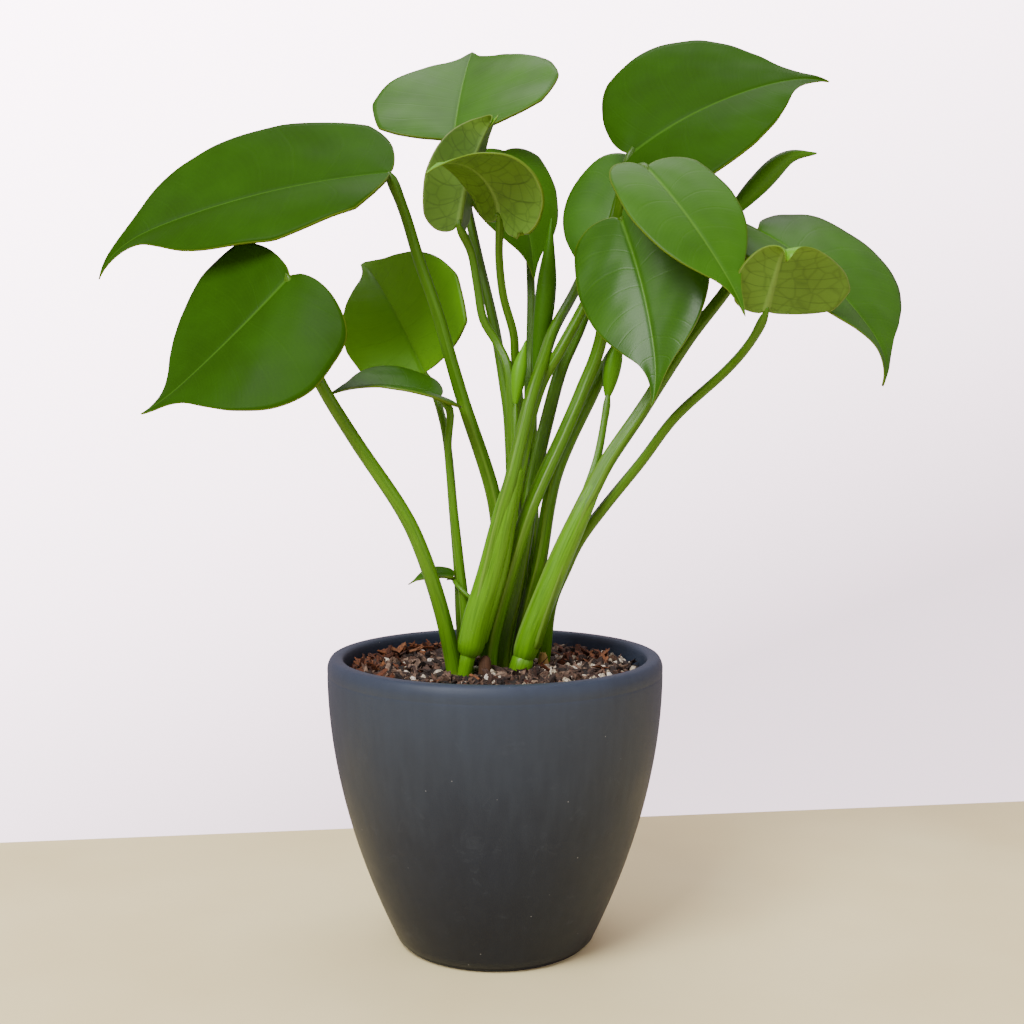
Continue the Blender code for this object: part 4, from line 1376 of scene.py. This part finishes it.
@dataclass(frozen=True)
class PottingMix:
    """The top of the mix: bark chips, white perlite and rusty coir, scattered on the packed soil."""

    chips: int = 3300
    grains: int = 560
    fibres: int = 640
    variants: int = 6
    edge_gap: float = 2.5 * MM  # how far inside the soil's edge the crumbs' centres stay
    seed: int = 11

    def model(self, shape: CrumbShape, seed: int) -> tuple[np.ndarray, list]:
        """Model one crumb about 1 unit long from a primitive.

        Args:
            shape: what the crumb is.
            seed: picks its bends and dents.

        Returns:
            Its vertices and its faces.
        """
        start_clean()
        if shape is CrumbShape.GRAIN:
            bpy.ops.mesh.primitive_ico_sphere_add(subdivisions=2, radius=0.5)
        else:
            bpy.ops.mesh.primitive_cube_add(size=1)
            bpy.ops.object.mode_set(mode="EDIT")
            bpy.ops.mesh.select_all(action="SELECT")
            if shape is CrumbShape.CHIP:
                bpy.ops.mesh.bevel(offset=0.16, segments=1)
            else:
                bpy.ops.mesh.subdivide(number_cuts=2)
            bpy.ops.object.mode_set(mode="OBJECT")
        piece = bpy.context.object
        places = places_of(piece)
        draw = np.random.default_rng(seed)
        rough = {CrumbShape.CHIP: 0.2, CrumbShape.GRAIN: 0.16, CrumbShape.FIBRE: 0.12}[shape]
        for axis in range(3):
            places[:, axis] += rough * waves(places, 0.9, seed * 5 + axis)
        if shape is CrumbShape.CHIP:
            places[:, 1] *= 1 - 0.5 * (places[:, 0] + 0.5) * draw.uniform(0, 1)
        if shape is CrumbShape.FIBRE:
            places[:, 2] += draw.uniform(0.4, 1.6) * places[:, 0] ** 2
            places[:, 1] += draw.uniform(-1.5, 1.5) * places[:, 0] ** 2
        faces = [tuple(face.vertices) for face in piece.data.polygons]
        bpy.data.objects.remove(piece)
        return places, faces

    def feet(self) -> list[tuple[float, float, float]]:
        """Return the x, y and radius of every stalk and stem at the level of the soil, in metres.

        Returns:
            One row for each stalk and stem.
        """
        found = []
        for stalk in STALKS.values():
            route = np.array(stalk.route, float)
            if route[-1, 2] < 0:
                low, above = route[-1], route[-2]
                share = (0 - low[2]) / (above[2] - low[2])
                x, y = (low + (above - low) * share)[:2]
                found.append((x * MM, y * MM, stalk.lower * MM))
        for sheath in SHEATHS.values():
            x, y = sheath.route[-1][:2]
            found.append((x * MM, y * MM, STEM_RADII["right"][0] * MM))
        return found

    def scatter(self, name: str, shape: CrumbShape, count: int, sizes: tuple, finish: Crumb, lift: float,
                weight: Callable | None = None) -> None:
        """Scatter copies of a crumb over the soil as one mesh.

        Args:
            name: the piece's name.
            shape: what each crumb is.
            count: how many.
            sizes: lowest and highest length, width and thickness, in millimetres.
            finish: the crumbs' finish.
            lift: how far the crumbs' centres are spread in height, in millimetres.
            weight: function of x and y in metres, from 0 to 1: how likely a place is to keep a crumb.
        """
        draw = random.Random(self.seed + count)
        models = [self.model(shape, self.seed + index) for index in range(self.variants)]
        tilt = 3.0 if shape is CrumbShape.GRAIN else 0.5
        feet = self.feet()
        reach = SOIL_RADIUS - self.edge_gap
        vertices, faces, shades, start, made = [], [], [], 0, 0
        while made < count:
            turn, out = draw.uniform(0, 2 * math.pi), reach * math.sqrt(draw.random())
            x, y = out * math.cos(turn), out * math.sin(turn)
            size = np.array([draw.uniform(low, high) for low, high in sizes]) * MM
            if weight and draw.random() > weight(x, y):
                continue
            if any(math.hypot(x - fx, y - fy) < fr + size[0] * 0.35 for fx, fy, fr in feet):
                continue
            if out + size[0] * 0.5 > reach + 1 * MM:
                continue
            made += 1
            places, own_faces = models[draw.randrange(self.variants)]
            turned = Euler((draw.gauss(0, tilt), draw.gauss(0, tilt), draw.uniform(0, 6.3))).to_matrix()
            mound = SOIL_MOUND * (1 - out / reach)
            height = CROWN[2] + mound + draw.uniform(-0.2, 1) * lift * MM
            vertices.append((places * size) @ np.array(turned).T + (x, y, height))
            faces += [tuple(v + start for v in face) for face in own_faces]
            shades.append(np.full(len(places), draw.random()))
            start += len(places)
        mesh = bpy.data.meshes.new(name)
        mesh.from_pydata(np.concatenate(vertices).tolist(), [], faces)
        piece = bpy.data.objects.new(name, mesh)
        bpy.context.scene.collection.objects.link(piece)
        mark(piece, "shade", np.concatenate(shades))
        mesh.materials.append(finish.make())
        if shape is CrumbShape.GRAIN:
            finish_mesh(piece, angle=70)
        settle(piece, name, Slot.MIX)

    def build(self) -> None:
        """Dress the packed soil and scatter the crumbs on it."""
        bark = Crumb("composted_pine_bark", ("#1a110b", "#33221a", "#4a3428", "#654a3a", "#8f7662"),
                     "#0e0906", 1.6, 0.5)
        perlite = Crumb("expanded_perlite", ("#94866f", "#c2b69e", "#dcd2bf", "#e8e0d0"), "#4e3d2e",
                        1.3, 0.6, 0.75)
        coir = Crumb("coir_husk", ("#33190b", "#552a12", "#74401e", "#8c5a34"), "#2a1408", 1.2, 0.4)
        bed = Crumb("packed_potting_mix", ("#140c08", "#2a1a12"), "#0b0705", 1.8, 1.2)
        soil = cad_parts["soil"]
        soil.data.materials.clear()
        soil.data.materials.append(bed.make())

        def rusty(x: float, y: float) -> float:
            """Return where coir gathers: along the back left wall, and in a tuft at the back right.

            Args:
                x: metres to the right.
                y: metres to the back.

            Returns:
                How likely a place is to keep a fibre.
            """
            out = math.hypot(x, y)
            back_left = out > SOIL_RADIUS - 16 * MM and y > -10 * MM and x < -5 * MM
            tuft = math.hypot(x - 46 * MM, y - 26 * MM) < 12 * MM
            return 1.0 if back_left else 0.8 if tuft else 0.03

        def clumps(x: float, y: float) -> float:
            """Return where perlite gathers: in loose clumps, and more of it on the right.

            Args:
                x: metres to the right.
                y: metres to the back.

            Returns:
                How likely a place is to keep a grain.
            """
            wave = math.sin(x / (7 * MM) + 1) * math.sin(y / (6 * MM)) + 0.012 * x / MM
            return min(1.0, max(0.12, 0.35 + 0.8 * wave))

        self.scatter("bark_chips", CrumbShape.CHIP, self.chips, ((3.0, 11), (1.5, 5.0), (0.7, 2.2)), bark,
                     3.4)
        self.scatter("perlite_grains", CrumbShape.GRAIN, self.grains, ((2.6, 6.6), (2.2, 5.2), (1.8, 3.6)),
                     perlite, 3.9, clumps)
        self.scatter("coir_fibres", CrumbShape.FIBRE, self.fibres, ((4, 12), (0.7, 3.2), (0.3, 0.9)), coir,
                     6, rusty)


# ---- Studio


@dataclass(frozen=True)
class PaintedBoard:
    """The pale board that the pot stands on: matt paint, a little uneven."""

    dull: str = "#f2e2a8"
    pale: str = "#faecb4"
    mottle_mm: float = 1000 / 9
    roughness: float = 0.6

    def make(self) -> bpy.types.Material:
        """Return the finish.

        Returns:
            The material.
        """
        material, tree, shader = new_finish("painted_board_floor")
        mottle = texture(tree, object_place(tree), self.mottle_mm, Detail=3)
        tree.links.new(ramp(tree, mottle, (0.3, self.dull), (0.7, self.pale)), shader.inputs["Base Color"])
        shader.inputs["Roughness"].default_value = self.roughness
        return material


@dataclass(frozen=True)
class Studio:
    """A pale floor that ends behind the pot, soft light from the upper left, and the camera."""

    floor_edge: float = 192 * MM  # how far behind the pot's axis the floor ends
    floor_slant: float = 0.137  # how far the far edge runs back per unit to the right
    floor_half: float = 1.5
    ambient: float = 0.6  # light that comes from all round
    wall_low: float = 2.5  # brightness of the bare background at its lower right
    wall_high: float = 10.0  # and at its upper left
    wall_slant: float = -0.45  # how much darker the background gets per unit to the right
    camera_place: tuple = (8.3 * MM, -695 * MM, 268 * MM)
    camera_pitch: float = 4.5  # degrees down
    lens_mm: float = 50

    LAMPS = (  # name, place, aim, size and power
        ("key", (-0.75, -1.15, 1.5), (0, 0, 0.2), 0.9, 50),
        ("fill", (1.2, -1.0, 0.6), (0, 0, 0.25), 1.2, 5),
        ("sky", (0.1, 0.5, 1.8), (0, 0, 0.3), 1.2, 13),
    )

    def build(self) -> None:
        """Make the floor, the lights, the world and the camera."""
        self.lay_floor()
        self.hang_lamps()
        self.light_world()
        self.place_camera()

    def lay_floor(self) -> None:
        """Make the floor, whose far edge runs at a slant."""
        start_clean()
        bpy.ops.mesh.primitive_plane_add(size=2)
        floor = bpy.context.object
        corners = places_of(floor)
        corners[:, 0] *= self.floor_half
        far = corners[:, 1] > 0
        corners[:, 1] = np.where(far, self.floor_edge + corners[:, 0] * self.floor_slant, -self.floor_half)
        move_to(floor, corners)
        floor.name = "floor"
        floor.data.materials.append(PaintedBoard().make())

    def hang_lamps(self) -> None:
        """Make the square lamps, each aimed at a place over the pot."""
        for name, place, aim, size, power in self.LAMPS:
            light = bpy.data.lights.new(name, "AREA")
            light.energy = power
            light.size = size
            lamp = bpy.data.objects.new(name, light)
            lamp.location = place
            lamp.rotation_euler = (Vector(aim) - Vector(place)).to_track_quat("-Z", "Y").to_euler()
            bpy.context.scene.collection.objects.link(lamp)

    def light_world(self) -> None:
        """Make the even light from all round, and the background that only the camera sees."""
        world = bpy.data.worlds.new("studio")
        world.use_nodes = True
        tree = world.node_tree
        way = add_node(tree, "ShaderNodeTexCoord").outputs["Generated"]
        side, _, rise = parts_of(tree, way)
        slant = maths(tree, "MULTIPLY_ADD", side, self.wall_slant, rise)
        glow = spread(tree, slant, (-0.25, 0.4), (self.wall_low, self.wall_high))
        seen = add_node(tree, "ShaderNodeLightPath").outputs["Is Camera Ray"]
        strength = add_node(tree, "ShaderNodeMix", {2: self.ambient}, {0: seen, 3: glow})
        backdrop = tree.nodes["Background"]
        backdrop.inputs["Color"].default_value = linear("#ffe8f4")
        tree.links.new(strength.outputs[0], backdrop.inputs["Strength"])
        bpy.context.scene.world = world

    def place_camera(self) -> None:
        """Make the camera."""
        lens = bpy.data.cameras.new("camera")
        lens.lens = self.lens_mm
        camera = bpy.data.objects.new("camera", lens)
        camera.location = self.camera_place
        camera.rotation_euler = (math.radians(90 - self.camera_pitch), 0, 0)
        bpy.context.scene.collection.objects.link(camera)
        bpy.context.scene.camera = camera


def main() -> None:
    """Build the pot, its mix, the plant and the studio."""
    logging.basicConfig(level=logging.INFO, format="%(message)s")
    Pot().build()
    PottingMix().build()
    Plant().build()
    Studio().build()


if __name__ == "__main__":
    main()
